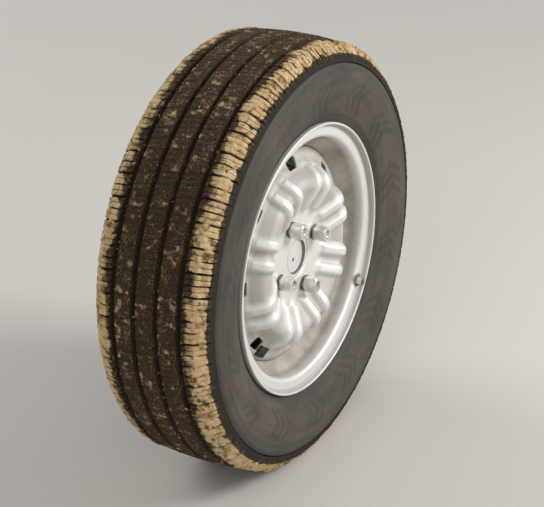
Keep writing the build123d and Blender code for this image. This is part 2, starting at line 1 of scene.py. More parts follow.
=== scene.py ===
"""Rear wheel corner of a saloon car run on gravel, dressed and lit for a studio picture.

Pieces are drawn in millimetres and scaled to metres when they are finished. +X points to the
back of the car, +Y inboard and +Z up, and the wheel turns about Y.
"""
import json
from functools import partial
from math import atan2, ceil, copysign, cos, hypot, pi, radians, sin, sqrt, tan, tau
from random import Random
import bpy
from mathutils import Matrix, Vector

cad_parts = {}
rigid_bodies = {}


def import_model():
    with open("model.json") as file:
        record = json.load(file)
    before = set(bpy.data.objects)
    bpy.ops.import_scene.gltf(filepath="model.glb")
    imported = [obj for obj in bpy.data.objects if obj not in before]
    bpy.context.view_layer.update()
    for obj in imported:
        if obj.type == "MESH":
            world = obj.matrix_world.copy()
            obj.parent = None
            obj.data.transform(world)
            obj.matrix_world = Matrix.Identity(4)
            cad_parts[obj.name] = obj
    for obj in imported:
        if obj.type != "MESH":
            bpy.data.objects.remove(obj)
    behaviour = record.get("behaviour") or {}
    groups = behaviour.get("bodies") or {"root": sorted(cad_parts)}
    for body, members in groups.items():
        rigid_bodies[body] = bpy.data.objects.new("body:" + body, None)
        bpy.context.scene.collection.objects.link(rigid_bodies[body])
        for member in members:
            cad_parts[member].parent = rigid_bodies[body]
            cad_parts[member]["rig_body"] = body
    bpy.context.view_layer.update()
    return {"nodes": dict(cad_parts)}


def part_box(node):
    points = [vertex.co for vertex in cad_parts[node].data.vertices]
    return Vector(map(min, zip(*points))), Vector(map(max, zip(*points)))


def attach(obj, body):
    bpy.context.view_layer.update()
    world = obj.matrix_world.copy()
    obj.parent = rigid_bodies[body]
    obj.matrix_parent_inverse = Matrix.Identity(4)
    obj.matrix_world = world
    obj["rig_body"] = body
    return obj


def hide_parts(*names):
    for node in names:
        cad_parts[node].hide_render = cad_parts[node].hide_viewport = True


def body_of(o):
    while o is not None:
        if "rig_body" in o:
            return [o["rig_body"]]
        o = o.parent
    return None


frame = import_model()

from types import SimpleNamespace

import bmesh
import bpy
from bpy.props import FloatProperty, FloatVectorProperty, IntProperty, PointerProperty
from mathutils import Euler, Matrix, Vector, noise

MM = 0.001

bl_info = {
    "name": "Gravel wheel corner",
    "version": (1, 0),
    "blender": (4, 5, 0),
    "location": "3D View > Sidebar > Wheel",
    "description": "Models and finishes the tyre, pressed wheel, brake and stub axle",
    "category": "Add Mesh",
}


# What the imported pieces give, in millimetres

def low(node):
    """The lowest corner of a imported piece."""
    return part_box(node)[0] / MM


def high(node):
    """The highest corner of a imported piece."""
    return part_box(node)[1] / MM


def centre_of(node):
    """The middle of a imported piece's box."""
    return (low(node) + high(node)) / 2


RIM_FACE = low("rim").y
RIM_BACK = high("rim").y
RIM_MIDDLE = (RIM_FACE + RIM_BACK) / 2
FLANGE = 11.0  # From the rim's face to the bead
BEAD_HALF = (RIM_BACK - RIM_FACE) / 2 - FLANGE
WALL_FOOT = (23.0, 7.0)  # Where the side wall starts, up and out from the bead
LIP_R = high("rim").x
CURL_R = LIP_R - 4.4
TYRE_R = high("tyre").z
WHEEL_SEAT = low("brake_disc").y
NUT_SEAT = WHEEL_SEAT - 5.0
STUD_FRONT = low("wheel_stud_1").y
CAP_FRONT = low("grease_cap").y
CAP_R = high("grease_cap").x
CAP_WALL_R = 23.3
CAP_DISH = 4.0
CAP_HOLE = Vector((-2.0, CAP_FRONT + CAP_DISH, -5.0))

# Where finishes start and end, in millimetres from the axle or along it
MUD_R = (266.5, 270.5)
PALE_MUD_R = (272.5, 277.5)
COMB_R = (261.5, 262.5)
COMB_TEETH = 620
FILM_R = (124.0, 142.0)
FILM_DEPTH = (-107.0, -94.0)
LIP_MOUTH = (-116.5, -114.5)
BEHIND_DISC = (-58.0, -47.0)
BEHIND_NUTS = (-60.0, -45.0)
PAD_TRACK = (77.5, 114.5)

# The studio's backdrop: its colour, how bright it looks and how bright it lights, and where the floor
# fades into it, in metres
BACKDROP = "#f2f1ee"
BACKDROP_SEEN = 0.78
BACKDROP_LIGHT = 0.36
FADE = (1.8, 4.6)

# How near to a line, in millimetres, a vertex counts as on it
NEAR = 0.1


# Sizes and colours that a user would change

def length(name, millimetres, description):
    """A size, written here in millimetres."""
    return FloatProperty(name=name, description=description, default=millimetres * MM, unit="LENGTH")


def linear(hex_colour):
    """An sRGB hex colour as linear red, green, blue and alpha."""
    channels = [int(hex_colour[i:i + 2], 16) / 255 for i in (1, 3, 5)]
    return [c / 12.92 if c <= 0.04045 else ((c + 0.055) / 1.055) ** 2.4 for c in channels] + [1.0]


def colour(name, hex_colour, description):
    """A colour, written here as sRGB hex."""
    return FloatVectorProperty(
        name=name, description=description, default=linear(hex_colour),
        size=4, min=0.0, max=1.0, subtype="COLOR",
    )


class TyreShape(bpy.types.PropertyGroup):
    """Sizes of the tyre's tread and side walls."""

    pitches: IntProperty(
        name="Tread pitches", description="Shoulder blocks round the tyre", default=60, min=12
    )
    tread_half: length("Tread half width", 66.5, "From the tread's middle to the shoulder's corner")
    crown_drop: length("Crown drop", 5.0, "How much lower the shoulder's corner is than the crown")
    buttress_drop: length("Buttress drop", 18.0, "How much lower the buttress edge is than the crown")
    buttress_out: length("Buttress reach", 5.5, "How far the buttress edge stands out past the rim")
    bulge_drop: length("Bulge drop", 61.0, "How much lower the widest place is than the crown")
    bulge_out: length("Bulge reach", 10.5, "How far the widest place stands out past the rim")
    parting_drop: length("Parting line drop", 27.0, "How much lower the moulded line is than the crown")
    groove_pitch: length("Groove spacing", 31.5, "From one circumferential groove to the next")
    groove_width: length("Groove width", 8.0, "Width of a circumferential groove")
    groove_depth: length("Groove depth", 7.0, "Depth of a circumferential groove")
    notch: length("Notch width", 3.8, "Width of the gap between two shoulder blocks")
    slot: length("Slot width", 2.4, "Width of the slot in the middle of a block")
    sipe: length("Sipe width", 1.2, "Width of the fine cuts")
    mud_lump: length("Mud thickness", 2.3, "How thick the dried mud lies on the shoulders")


class WheelShape(bpy.types.PropertyGroup):
    """Sizes of the pressed wheel."""

    spokes: IntProperty(
        name="Spokes", description="Pressed spokes, and vents between them", default=8, min=3
    )
    first_spoke: FloatProperty(
        name="First spoke", description="Where the first spoke stands", default=radians(20), unit="ROTATION"
    )
    sheet: length("Disc sheet", 4.0, "Thickness of the pressed disc")
    bore_r: length("Centre bore", 29.1, "Radius of the hole for the hub's nose")
    flat_r: length("Seat radius", 66.0, "Radius of the flat that the nuts hold")
    crown_r: length("Crown radius", 104.5, "Radius of the pressed crown")
    crown_rise: length("Crown rise", 18.0, "How far the crown stands in front of the flat")
    foot_r: length("Foot radius", 119.0, "Radius where the slope turns into the ring of vents")
    foot_drop: length("Foot drop", 4.5, "How far the foot lies behind the flat")
    edge_drop: length("Edge drop", 16.0, "How far the disc's edge lies behind the flat")
    rib_spacing: length("Ridge spacing", 27.0, "Between the two ridges of a spoke")
    rib_flat: length("Ridge flat half width", 3.0, "From a ridge's middle to where its side starts")
    rib_half: length("Ridge half width", 12.0, "From a ridge's middle to its foot")
    rib_rise: length("Ridge rise", 6.4, "Height of a ridge")
    vent_r: length("Vent radius", 128.5, "Radius of the middle of a vent")
    vent_height: length("Vent height", 15.0, "Radial size of a vent")
    vent_width: length("Vent width", 23.0, "Size of a vent along the circumference")
    vent_corner: length("Vent corner", 3.5, "Radius of a vent's corners")
    rim_sheet: length("Rim sheet", 3.0, "Thickness of the rolled rim")
    bead_seat_r: length("Bead seat radius", 164.7, "Radius that the tyre's bead sits on")
    well_depth: length("Well depth", 16.7, "From the bead seat down to the well")


class Finish(bpy.types.PropertyGroup):
    """Colours of the materials."""

    rubber: colour("Rubber", "#312d29", "Weathered tyre rubber")
    dust: colour("Dust", "#615950", "Fine dust on the side walls")
    pale_mud: colour("Pale mud", "#f3deb3", "Mud dried out in the sun")
    dry_mud: colour("Dried mud", "#d0ac79", "Mud caked on the shoulders")
    damp_mud: colour("Damp mud", "#755a3b", "Darker mud in the hollows")
    # Also gives the painted shade in the tread's cuts
    soil: colour("Soil", "#2a2016", "Dark soil in the tread")
    stained_rubber: colour("Stained rubber", "#4f3f2d", "Tread rubber browned by soil")
    wheel_paint: colour("Wheel paint", "#e2e0dd", "Silver wheel paint")
    # In the wheel's hollows this also gives painted shade
    road_film: colour("Road film", "#857a69", "Thin dust in the wheel's hollows")
    # Also gives painted shade: in the wheel's creases, behind its disc and where the nuts sit down
    brake_dust_and_shade: colour("Brake dust", "#231e19", "Brake dust and soil inside the rim")
    zinc: colour("Zinc", "#e8e6e2", "Zinc plating")
    dull_zinc: colour("Dull zinc", "#b7b2a8", "Zinc that has dulled")
    lead: colour("Coated lead", "#272522", "The stick-on weight")
    iron: colour("Cast iron", "#54504b", "Bare cast iron")
    rust: colour("Rust", "#74492f", "Surface rust")
    turned: colour("Turned iron", "#a09d99", "Turned and braked iron")
    black: colour("Black coating", "#242425", "Black dip coating")
    lining: colour("Lining", "#3a342f", "Brake lining")
    moulded: colour("Moulded rubber", "#1f1f1f", "Boots, seals and the valve")
    floor: colour("Floor", "#d6d3ce", "Studio floor")


def values(group):
    """The group's values by name, with its lengths in millimetres."""
    found = {}
    for key, prop in group.bl_rna.properties.items():
        if key not in ("rna_type", "name"):
            value = getattr(group, key)
            found[key] = value / MM if getattr(prop, "unit", "") == "LENGTH" else value
    return SimpleNamespace(**found)


# Places and outlines, an outline's points each a radius from the axle and a place along it

def radius_of(place):
    """How far a place is from the axle."""
    return hypot(place.x, place.z)


def turn_of(place):
    """The angle round the axle at which a place lies."""
    return atan2(place.z, place.x)


def rounded(corners, segments=5):
    """The points of an outline whose corners, given as radius, place and bend, are turned to arcs."""
    points = []
    for index, (r, y, bend) in enumerate(corners):
        here = Vector((r, y))
        if not bend:
            points.append(here)
            continue
        before = (Vector(corners[index - 1][:2]) - here).normalized()
        after = (Vector(corners[(index + 1) % len(corners)][:2]) - here).normalized()
        half = before.angle(after) / 2
        centre = here + (before + after).normalized() * bend / sin(half)
        start = here + before * bend / tan(half) - centre
        end = here + after * bend / tan(half) - centre
        sweep = copysign(pi - 2 * half, start.cross(end))
        for step in range(segments + 1):
            points.append(centre + Matrix.Rotation(sweep * step / segments, 2) @ start)
    return points


def stepped(points, longest):
    """The same outline with its long runs cut into steps no longer than this."""
    finer = []
    for here, ahead in zip(points, points[1:]):
        count = ceil((ahead - here).length / longest)
        finer += [here.lerp(ahead, step / count) for step in range(count)]
    return finer + [points[-1]]


def smooth_step(value, start, end):
    """0 before start, 1 after end, and a smooth rise between them."""
    t = min(max((value - start) / (end - start), 0.0), 1.0)
    return t * t * (3 - 2 * t)


def hump(offset, half):
    """1 in the middle, falling smoothly to 0 at half on either side."""
    return (1 + cos(pi * offset / half)) / 2 if abs(offset) < half else 0.0


# Meshes

def lathe(points, steps, closed=False, sweep=tau):
    """A new bmesh with an outline spun round the axle."""
    bm = bmesh.new()
    verts = [bm.verts.new((point[0], point[1], 0.0)) for point in points]
    lines = [bm.edges.new(pair) for pair in zip(verts, verts[1:])]
    if closed:
        lines.append(bm.edges.new((verts[-1], verts[0])))
    whole = abs(sweep - tau) < 1e-6
    bmesh.ops.spin(
        bm, geom=verts + lines, cent=(0, 0, 0), axis=(0, 1, 0), angle=sweep, steps=steps, use_merge=whole
    )
    if closed and not whole:
        bmesh.ops.holes_fill(bm, edges=bm.edges, sides=0)
    bmesh.ops.remove_doubles(bm, verts=bm.verts, dist=0.0005)
    bmesh.ops.recalc_face_normals(bm, faces=bm.faces)
    return bm


def skin(points, steps):
    """An open sheet spun round the axle, its normals towards the outboard side and the axle."""
    bm = lathe(points, steps)
    foremost = min(bm.faces, key=lambda face: face.calc_center_median().y)
    if foremost.normal.y > 0:
        bmesh.ops.reverse_faces(bm, faces=bm.faces)
    return bm


def press(bm, height):
    """Presses a sheet out along its normals by a height that depends on the place."""
    bm.normal_update()
    moves = [(vert, vert.normal * height(vert.co)) for vert in bm.verts]
    for vert, move in moves:
        vert.co += move


def move_to(bm, node):
    """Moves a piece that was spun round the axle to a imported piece's own axis."""
    middle = centre_of(node)
    bmesh.ops.translate(bm, vec=(middle.x, 0, middle.z), verts=bm.verts)


def cut_window(bm, centre, corners, reach):
    """Cuts a convex window along the axle's direction, its outline given as x and z."""
    middle = Vector((centre[0], 0, centre[1]))
    inside = [face for face in bm.faces if radius_of(face.calc_center_median() - middle) < reach]
    for here, ahead in zip(corners, corners[1:] + corners[:1]):
        place = Vector((here[0], 0, here[1]))
        outward = Vector((ahead[1] - here[1], 0, here[0] - ahead[0])).normalized()
        if outward.dot(place - middle) < 0:
            outward.negate()
        around = {item for face in inside for item in (*face.verts, *face.edges)}
        cut = bmesh.ops.bisect_plane(
            bm, geom=list(around) + inside, dist=1e-4, plane_co=place, plane_no=outward
        )
        inside = [
            item for item in cut["geom"]
            if isinstance(item, bmesh.types.BMFace) and outward.dot(item.calc_center_median() - place) < 0
        ]
    bmesh.ops.delete(bm, geom=inside, context="FACES")


def turned_outline(corners, angle):
    """Points given as along and across a radius, as x and z of the wheel."""
    return [(u * cos(angle) - v * sin(angle), u * sin(angle) + v * cos(angle)) for u, v in corners]


def to_mesh(bm, name):
    """A new mesh from a bmesh, which is used up."""
    mesh = bpy.data.meshes.new(name)
    bm.to_mesh(mesh)
    bm.free()
    return mesh


def to_scene(data, name):
    """A new object in the scene with a mesh, lamp or camera."""
    made = bpy.data.objects.new(name, data)
    bpy.context.scene.collection.objects.link(made)
    return made


def finish_piece(bm, name, node, material, crease=35, stands_for=True):
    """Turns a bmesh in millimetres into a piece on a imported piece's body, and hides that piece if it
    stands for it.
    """
    bmesh.ops.scale(bm, vec=(MM, MM, MM), verts=bm.verts)
    mesh = to_mesh(bm, name)
    mesh.shade_smooth()
    mesh.set_sharp_from_angle(angle=radians(crease))
    mesh.materials.append(material)
    piece = to_scene(mesh, name)
    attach(piece, body_of(frame["nodes"][node])[0])
    if stands_for:
        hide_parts(node)
    return piece


def thicken(piece, millimetres):
    """Gives a sheet its thickness, behind the skin that was drawn."""
    shell = piece.modifiers.new("Sheet", "SOLIDIFY")
    shell.thickness = millimetres * MM
    shell.offset = -1
    shell.use_even_offset = True


def soften(piece, millimetres, segments=2):
    """Rounds the sharp edges a little, as casting, forging or handling leaves them."""
    bevel = piece.modifiers.new("Edges", "BEVEL")
    bevel.width = millimetres * MM
    bevel.segments = segments
    bevel.limit_method = "ANGLE"
    bevel.angle_limit = radians(32)


def packed_copy(node):
    """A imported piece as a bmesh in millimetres, merged, with its flat faces whole."""
    bm = bmesh.new()
    bm.from_mesh(frame["nodes"][node].data)
    bmesh.ops.scale(bm, vec=(1 / MM, 1 / MM, 1 / MM), verts=bm.verts)
    bmesh.ops.remove_doubles(bm, verts=bm.verts, dist=0.002)
    bmesh.ops.dissolve_limit(bm, angle_limit=radians(0.5), verts=bm.verts, edges=bm.edges)
    return bm


def dress(node, name, material, edge):
    """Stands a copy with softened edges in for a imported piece."""
    soften(finish_piece(packed_copy(node), name, node, material), edge)


def paint_node(node, material):
    """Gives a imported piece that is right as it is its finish."""
    data = frame["nodes"][node].data
    data.materials.clear()
    data.materials.append(material)


# Materials

def enabled(sockets, key):
    """One of a node's sockets in use, by its name or its number."""
    live = [socket for socket in sockets if socket.enabled]
    return live[key] if isinstance(key, int) else next(s for s in live if s.name == key)


def add(tree, kind, inputs=(), out=0, **settings):
    """Adds a node, its inputs set or linked by name or in their order, and gives one of its outputs."""
    node = tree.nodes.new("ShaderNode" + kind)
    for key, value in settings.items():
        setattr(node, key, value)
    for key, value in inputs.items() if isinstance(inputs, dict) else enumerate(inputs):
        socket = enabled(node.inputs, key)
        if isinstance(value, bpy.types.NodeSocket):
            tree.links.new(value, socket)
        else:
            socket.default_value = value
    return enabled(node.outputs, out) if len(node.outputs) else None


def emptied(owner):
    """Clears the nodes of a material or world, and gives the function that adds new ones."""
    owner.use_nodes = True
    owner.node_tree.nodes.clear()
    return partial(add, owner.node_tree)


def surface(build):
    """The material that one of the functions below describes, named as it is and made once."""
    material = bpy.data.materials.get(build.__name__)
    if material is None:
        material = bpy.data.materials.new(build.__name__)
        node = emptied(material)
        place = node("TexCoord", out="Object")
        shader = node("BsdfPrincipled", build(node, place, values(bpy.context.scene.wheel_finish)))
        node("OutputMaterial", {"Surface": shader})
    return material


def mm(*sizes):
    """Sizes in millimetres as metres, which Object coordinates are in."""
    return [size * MM for size in sizes]


def per_metre(millimetres):
    """The scale that gives a pattern this size on Object coordinates."""
    return 1 / (millimetres * MM)


def from_axle(node, place):
    """The distance from the axle, which the wheel's finishes follow."""
    flat = node("VectorMath", (place, (1.0, 0.0, 1.0)), operation="MULTIPLY")
    return node("VectorMath", (flat,), operation="LENGTH")


def close_to(node, value, middle, near, far, most):
    """Most within near of a middle and nothing beyond far, all three in millimetres."""
    offset = node("Math", (value, middle * MM), operation="SUBTRACT")
    apart = node("Math", (offset,), operation="ABSOLUTE")
    return node("MapRange", (apart, *mm(near, far), most, 0.0))


def patched(node, place, pattern, spread, under, over):
    """Soft patches of one colour over another: their pattern, how much of them shows, and the mix.

    The pattern is a size in millimetres and the noise's detail and roughness. The spread says between
    which of its values the patches come in and, where it goes on, from how little to how much.
    """
    size, *grain = pattern
    cloud = node("TexNoise", (place, per_metre(size), *grain))
    shown = node("MapRange", (cloud, *spread))
    return cloud, shown, node("Mix", (shown, under, over), data_type="RGBA")


def rough_skin(node, tone, rough, relief, strength, depth, metal=0.0, gloss=0.5):
    """The shader's inputs for a colour and roughness with a fine relief, so many millimetres deep."""
    bump = node("Bump", {"Height": relief, "Strength": strength, "Distance": depth * MM})
    return {
        "Base Color": tone, "Roughness": rough, "Metallic": metal, "Specular IOR Level": gloss,
        "Normal": bump,
    }


def caked_tread_rubber(node, place, paint):
    """Tread rubber with dried gravel mud: pale and crumbly on the blocks, dark and dull in the cuts, which
    are darkened by their depth as painted shade.
    """
    mud = node("Attribute", attribute_name="mud", out="Fac")
    cut_shade = node("Attribute", attribute_name="cut_shade", out="Fac")
    crumbs = node("TexNoise", (place, per_metre(11), 8.0, 0.68))
    grit = node("TexNoise", (place, per_metre(1.8), 4.0, 0.65))
    blotch = node("TexNoise", (place, per_metre(24), 4.0, 0.6))
    radius = from_axle(node, place)
    speckled = node("MapRange", (grit, 0.36, 0.64))

    # The tread under the mud: rubber, and above the mud's limit soil with flecks of it
    clustered = node("Math", (blotch, 0.6, grit), operation="MULTIPLY_ADD")
    flecked = node("MapRange", (clustered, 0.9, 1.02, 0.0, 0.6))
    soiled = node("Mix", (speckled, paint.soil, paint.stained_rubber), data_type="RGBA")
    earth = node("Mix", (flecked, soiled, paint.dry_mud), data_type="RGBA")
    dirty = node("MapRange", (radius, *mm(*MUD_R)))
    base = node("Mix", (dirty, paint.rubber, earth), data_type="RGBA")

    # The mud: damp in its pits, dried elsewhere, and palest towards the side wall
    edge = node("MapRange", (radius, *mm(*PALE_MUD_R), 0.8, 0.0))
    pits = node("MapRange", (crumbs, 0.38, 0.5))
    spread = node("MapRange", (blotch, 0.38, 0.62, 0.2))
    pitted = node("Math", (pits, edge), operation="MAXIMUM")
    dried = node("Math", (spread, edge), operation="MAXIMUM")
    pale = node("Mix", (speckled, paint.dry_mud, paint.pale_mud), data_type="RGBA")
    crust = node("Mix", (dried, paint.dry_mud, pale), data_type="RGBA")
    dry = node("Mix", (pitted, paint.damp_mud, crust), data_type="RGBA")

    patches = node("Math", (mud, crumbs), operation="ADD")
    caked = node("MapRange", (patches, 0.82, 1.14))
    covered = node("Mix", (caked, base, dry), data_type="RGBA")
    # Painted shade in the cuts: the deeper a cut, the nearer to the soil colour
    shaded = node("Mix", (cut_shade, covered, paint.soil), data_type="RGBA")
    relief = node("Math", (crumbs, 1.5, grit), operation="MULTIPLY_ADD")
    return rough_skin(node, shaded, 0.93, relief, 1.0, 1.8, gloss=0.25)


def dusty_sidewall_rubber(node, place, paint):
    """Tyre side wall, moulded rubber greyed by age, with dust wiped round by the wheel's turning."""
    split = node("SeparateXYZ", (place,))
    radius = from_axle(node, place)
    angle = node("Math", (split.node.outputs["Z"], split), operation="ARCTAN2")
    short = node("Math", (angle, 0.03), operation="MULTIPLY")
    swept = node("CombineXYZ", (radius, short))
    bands = node("TexNoise", (swept, per_metre(9), 6.0, 0.6))
    cloud = node("TexNoise", (place, per_metre(70), 5.0, 0.55))
    film = node("Math", (bands, cloud), operation="ADD")
    even = node("MapRange", (film, 0.65, 1.4))
    wiped = node("Attribute", attribute_name="wiped", out="Fac")
    dusty = node("Math", (even, wiped), operation="MULTIPLY")
    tone = node("Mix", (dusty, paint.rubber, paint.dust), data_type="RGBA")
    rough = node("MapRange", (dusty, 0.0, 1.0, 0.62, 0.85))

    # A ring of fine moulded teeth under the tread
    teeth = node("Math", (angle, COMB_TEETH), operation="MULTIPLY")
    comb = node("Math", (teeth,), operation="SINE")
    zone = node("MapRange", (radius, *mm(*COMB_R)))
    ridges = node("Math", (comb, zone), operation="MULTIPLY")
    grain = node("TexNoise", (place, per_metre(1.4), 3.0))
    relief = node("Math", (ridges, 0.4, grain), operation="MULTIPLY_ADD")
    return rough_skin(node, tone, rough, relief, 0.5, 0.5, gloss=0.4)


def dried_gravel_soil(node, place, paint):
    """Crumbs of dried soil and grit, matt and uneven in colour."""
    _, _, tone = patched(node, place, (14, 4.0), (0.35, 0.65), paint.damp_mud, paint.dry_mud)
    grit = node("TexNoise", (place, per_metre(1.0), 4.0))
    return rough_skin(node, tone, 0.95, grit, 0.8, 0.6, gloss=0.2)


def silver_wheel_enamel(node, place, paint):
    """Sprayed silver wheel enamel: a satin metallic coat with orange peel, road film with painted shade in
    hollows, and painted shade in creases and behind the disc.
    """
    depth = node("SeparateXYZ", (place,), "Y")
    radius = from_axle(node, place)

    # Road film with painted shade, where the wheel is deep and between the spoke ridges, and specks of dirt
    # all over
    outer = node("MapRange", (radius, *mm(*FILM_R)))
    deep = node("MapRange", (depth, *mm(*FILM_DEPTH)))
    settled = node("Math", (outer, deep), operation="MULTIPLY")
    valley_film_and_shade = node("Attribute", attribute_name="valley_film_and_shade", out="Fac")
    film_and_shade = node("Math", (valley_film_and_shade, 0.7, settled), operation="MULTIPLY_ADD", use_clamp=True)
    cloud = node("TexNoise", (place, per_metre(34), 6.0, 0.6))
    patchy = node("MapRange", (cloud, 0.34, 0.66, 0.5, 0.8))
    film = node("Math", (film_and_shade, patchy), operation="MULTIPLY")
    speck = node("TexNoise", (place, per_metre(5), 8.0, 0.75))
    spots = node("MapRange", (speck, 0.62, 0.74, 0.0, 0.35))
    dirt = node("Math", (film, spots), operation="ADD", use_clamp=True)
    tone = node("Mix", (dirt, paint.wheel_paint, paint.road_film), data_type="RGBA")

    # Painted shade in the lip's curl, on the grease cap's dish wall, round the cap's hole and round the
    # clip-on weight; behind the disc, brake dust deepened as painted shade
    curl = close_to(node, radius, CURL_R, 1.2, 3.0, 1.0)
    inside = node("MapRange", (depth, *mm(*LIP_MOUTH)))
    curl_shade = node("Math", (curl, inside), operation="MULTIPLY")
    # Painted shade on the grease cap's dish wall
    cap_wall_shade = close_to(node, radius, CAP_WALL_R, 0.7, 1.6, 0.8)
    painted_shade = node("Math", (curl_shade, 0.42, cap_wall_shade), operation="MULTIPLY_ADD")
    # Painted shade round the cap's hole and round the clip-on weight
    for spot, near, far in ((CAP_HOLE, 2.0, 3.4), (centre_of("balance_weight"), 8.5, 12.5)):
        reach = node("VectorMath", (place, mm(*spot)), operation="DISTANCE")
        shade_halo = node("MapRange", (reach, *mm(near, far), 0.8, 0.0))
        painted_shade = node("Math", (painted_shade, shade_halo), operation="MAXIMUM")
    # Behind the disc: brake dust, darkened further as painted shade seen through the vents
    behind = node("MapRange", (depth, *mm(*BEHIND_DISC), 0.0, 0.66))
    caked = node("Math", (painted_shade, behind), operation="MAXIMUM", use_clamp=True)
    soiled = node("Mix", (caked, tone, paint.brake_dust_and_shade), data_type="RGBA")

    worn = node("Math", (dirt, caked), operation="MAXIMUM")
    rough = node("MapRange", (worn, 0.0, 1.0, 0.52, 0.85))
    shine = node("MapRange", (worn, 0.0, 1.0, 0.55, 0.0))
    peel = node("TexNoise", (place, per_metre(4), 2.0))
    return rough_skin(node, soiled, rough, peel, 0.1, 0.3, metal=shine)


def zinc_plated_steel(node, place, paint):
    """Zinc-plated steel, a thin bright coat that dulls in patches, with painted shade where a nut sits
    down.
    """
    cloud, dull, tone = patched(
        node, place, (14, 4.0, 0.55), (0.4, 0.65, 0.0, 0.8), paint.zinc, paint.dull_zinc
    )
    depth = node("SeparateXYZ", (place,), "Y")
    # Painted shade round the seat of each nut
    seat = close_to(node, depth, NUT_SEAT, 1.8, 5.0, 0.85)
    behind = node("MapRange", (depth, *mm(*BEHIND_NUTS), 0.0, 0.55))
    dirt = node("Math", (seat, behind), operation="MAXIMUM")
    shaded_and_dusty = node("Mix", (dirt, tone, paint.brake_dust_and_shade), data_type="RGBA")
    rough = node("MapRange", (dull, 0.0, 1.0, 0.3, 0.42))
    return rough_skin(node, shaded_and_dusty, rough, cloud, 0.05, 0.2, metal=0.7)


def die_cast_weight_alloy(node, place, paint):
    """Die-cast balance weight, soft dull alloy with a handled skin."""
    cloud, _, tone = patched(node, place, (3, 5.0), (), paint.road_film, paint.zinc)
    return rough_skin(node, tone, 0.55, cloud, 0.3, 0.3, metal=0.6)


def stick_on_weight_lead(node, place, paint):
    """Stick-on balance weight, coated lead that road dirt has dulled to a dark grey."""
    cloud, _, tone = patched(
        node, place, (7, 5.0, 0.6), (0.4, 0.7, 0.0, 0.2), paint.lead, paint.road_film
    )
    return rough_skin(node, tone, 0.8, cloud, 0.2, 0.3, gloss=0.3)


def moulded_black_rubber(node, place, paint):
    """Moulded black rubber with a bloom of dust on it."""
    cloud, _, tone = patched(
        node, place, (10, 6.0, 0.6), (0.45, 0.8, 0.0, 0.5), paint.moulded, paint.dust
    )
    return rough_skin(node, tone, 0.62, cloud, 0.2, 0.3)


def braked_grey_iron(node, place, paint):
    """Grey iron disc: its rubbing faces turned and polished in rings, its hat and edge rusted."""
    radius = from_axle(node, place)
    inner, outer = PAD_TRACK
    start = node("MapRange", (radius, *mm(inner, inner + 1)))
    end = node("MapRange", (radius, *mm(outer, outer - 1)))
    rubbed = node("Math", (start, end), operation="MULTIPLY")
    rings = node("TexNoise", (node("CombineXYZ", (radius,)), per_metre(1.2), 3.0))
    cloud, _, scale = patched(node, place, (12, 8.0, 0.7), (), paint.iron, paint.rust)
    face = node("Mix", (rings, paint.iron, paint.turned), data_type="RGBA")
    tone = node("Mix", (rubbed, scale, face), data_type="RGBA")
    rough = node("MapRange", (rubbed, 0.0, 1.0, 0.85, 0.32))
    height = node("Mix", (rubbed, cloud, rings))
    return rough_skin(node, tone, rough, height, 0.3, 0.25, metal=rubbed)


def bare_sand_cast_iron(node, place, paint):
    """Sand-cast iron left bare: a grainy skin, brown in places and dusty on top."""
    grain = node("TexNoise", (place, per_metre(1.3), 4.0, 0.6))
    cloud, _, metal = patched(
        node, place, (22, 7.0, 0.65), (0.42, 0.7, 0.0, 0.75), paint.iron, paint.rust
    )
    facing = node("SeparateXYZ", (node("NewGeometry", out="Normal"),), "Z")
    upward = node("MapRange", (facing, 0.1, 1.0))
    settled = node("Math", (upward, cloud), operation="MULTIPLY")
    tone = node("Mix", (settled, metal, paint.road_film), data_type="RGBA")
    return rough_skin(node, tone, 0.82, grain, 0.5, 0.5, metal=0.25)


def forged_steel(node, place, paint):
    """Forged steel: dark mill scale that the first rust has started on."""
    cloud, rusted, tone = patched(
        node, place, (16, 8.0, 0.7), (0.36, 0.7, 0.08, 0.75), paint.iron, paint.rust
    )
    rough = node("MapRange", (rusted, 0.0, 1.0, 0.5, 0.85))
    return rough_skin(node, tone, rough, cloud, 0.35, 0.4, metal=0.45)


def black_coated_sheet(node, place, paint):
    """Black dip-coated sheet steel with dry dust over it."""
    cloud, dusted, tone = patched(
        node, place, (13, 6.0, 0.6), (0.3, 0.8, 0.12, 0.45), paint.black, paint.road_film
    )
    rough = node("MapRange", (dusted, 0.0, 1.0, 0.42, 0.85))
    return rough_skin(node, tone, rough, cloud, 0.15, 0.3)


def pressed_friction_lining(node, place, paint):
    """Pressed friction lining, a dull compound with bright chips in it."""
    chips = node("TexVoronoi", (place, per_metre(1.5)))
    chip = node("MapRange", (chips, 0.12, 0.22, 0.7, 0.0))
    tone = node("Mix", (chip, paint.lining, paint.turned), data_type="RGBA")
    return rough_skin(node, tone, 0.9, chips, 0.3, 0.3)


def ground_bearing_steel(node, place, paint):
    """Ground bearing steel, smooth and oily."""
    _, _, tone = patched(node, place, (5, 4.0), (), paint.turned, paint.zinc)
    return {"Base Color": tone, "Roughness": 0.22, "Metallic": 1.0}


# Tyre

def side_of_tyre(shape):
    """How far the side wall stands from the tyre's middle at a radius: an arc through three places."""
    rim_half = BEAD_HALF + FLANGE
    wheel = values(bpy.context.scene.wheel_shape)
    low_edge = Vector((wheel.bead_seat_r + WALL_FOOT[0], BEAD_HALF + WALL_FOOT[1]))
    widest = Vector((TYRE_R - shape.bulge_drop, rim_half + shape.bulge_out))
    buttress = Vector((TYRE_R - shape.buttress_drop, rim_half + shape.buttress_out))
    spans = Matrix((widest - low_edge, buttress - low_edge))
    start = low_edge.length_squared
    squares = Vector((widest.length_squared - start, buttress.length_squared - start))
    centre = spans.inverted() @ squares / 2
    bend = (low_edge - centre).length
    return lambda r: centre.y + sqrt(bend * bend - (r - centre.x) ** 2)


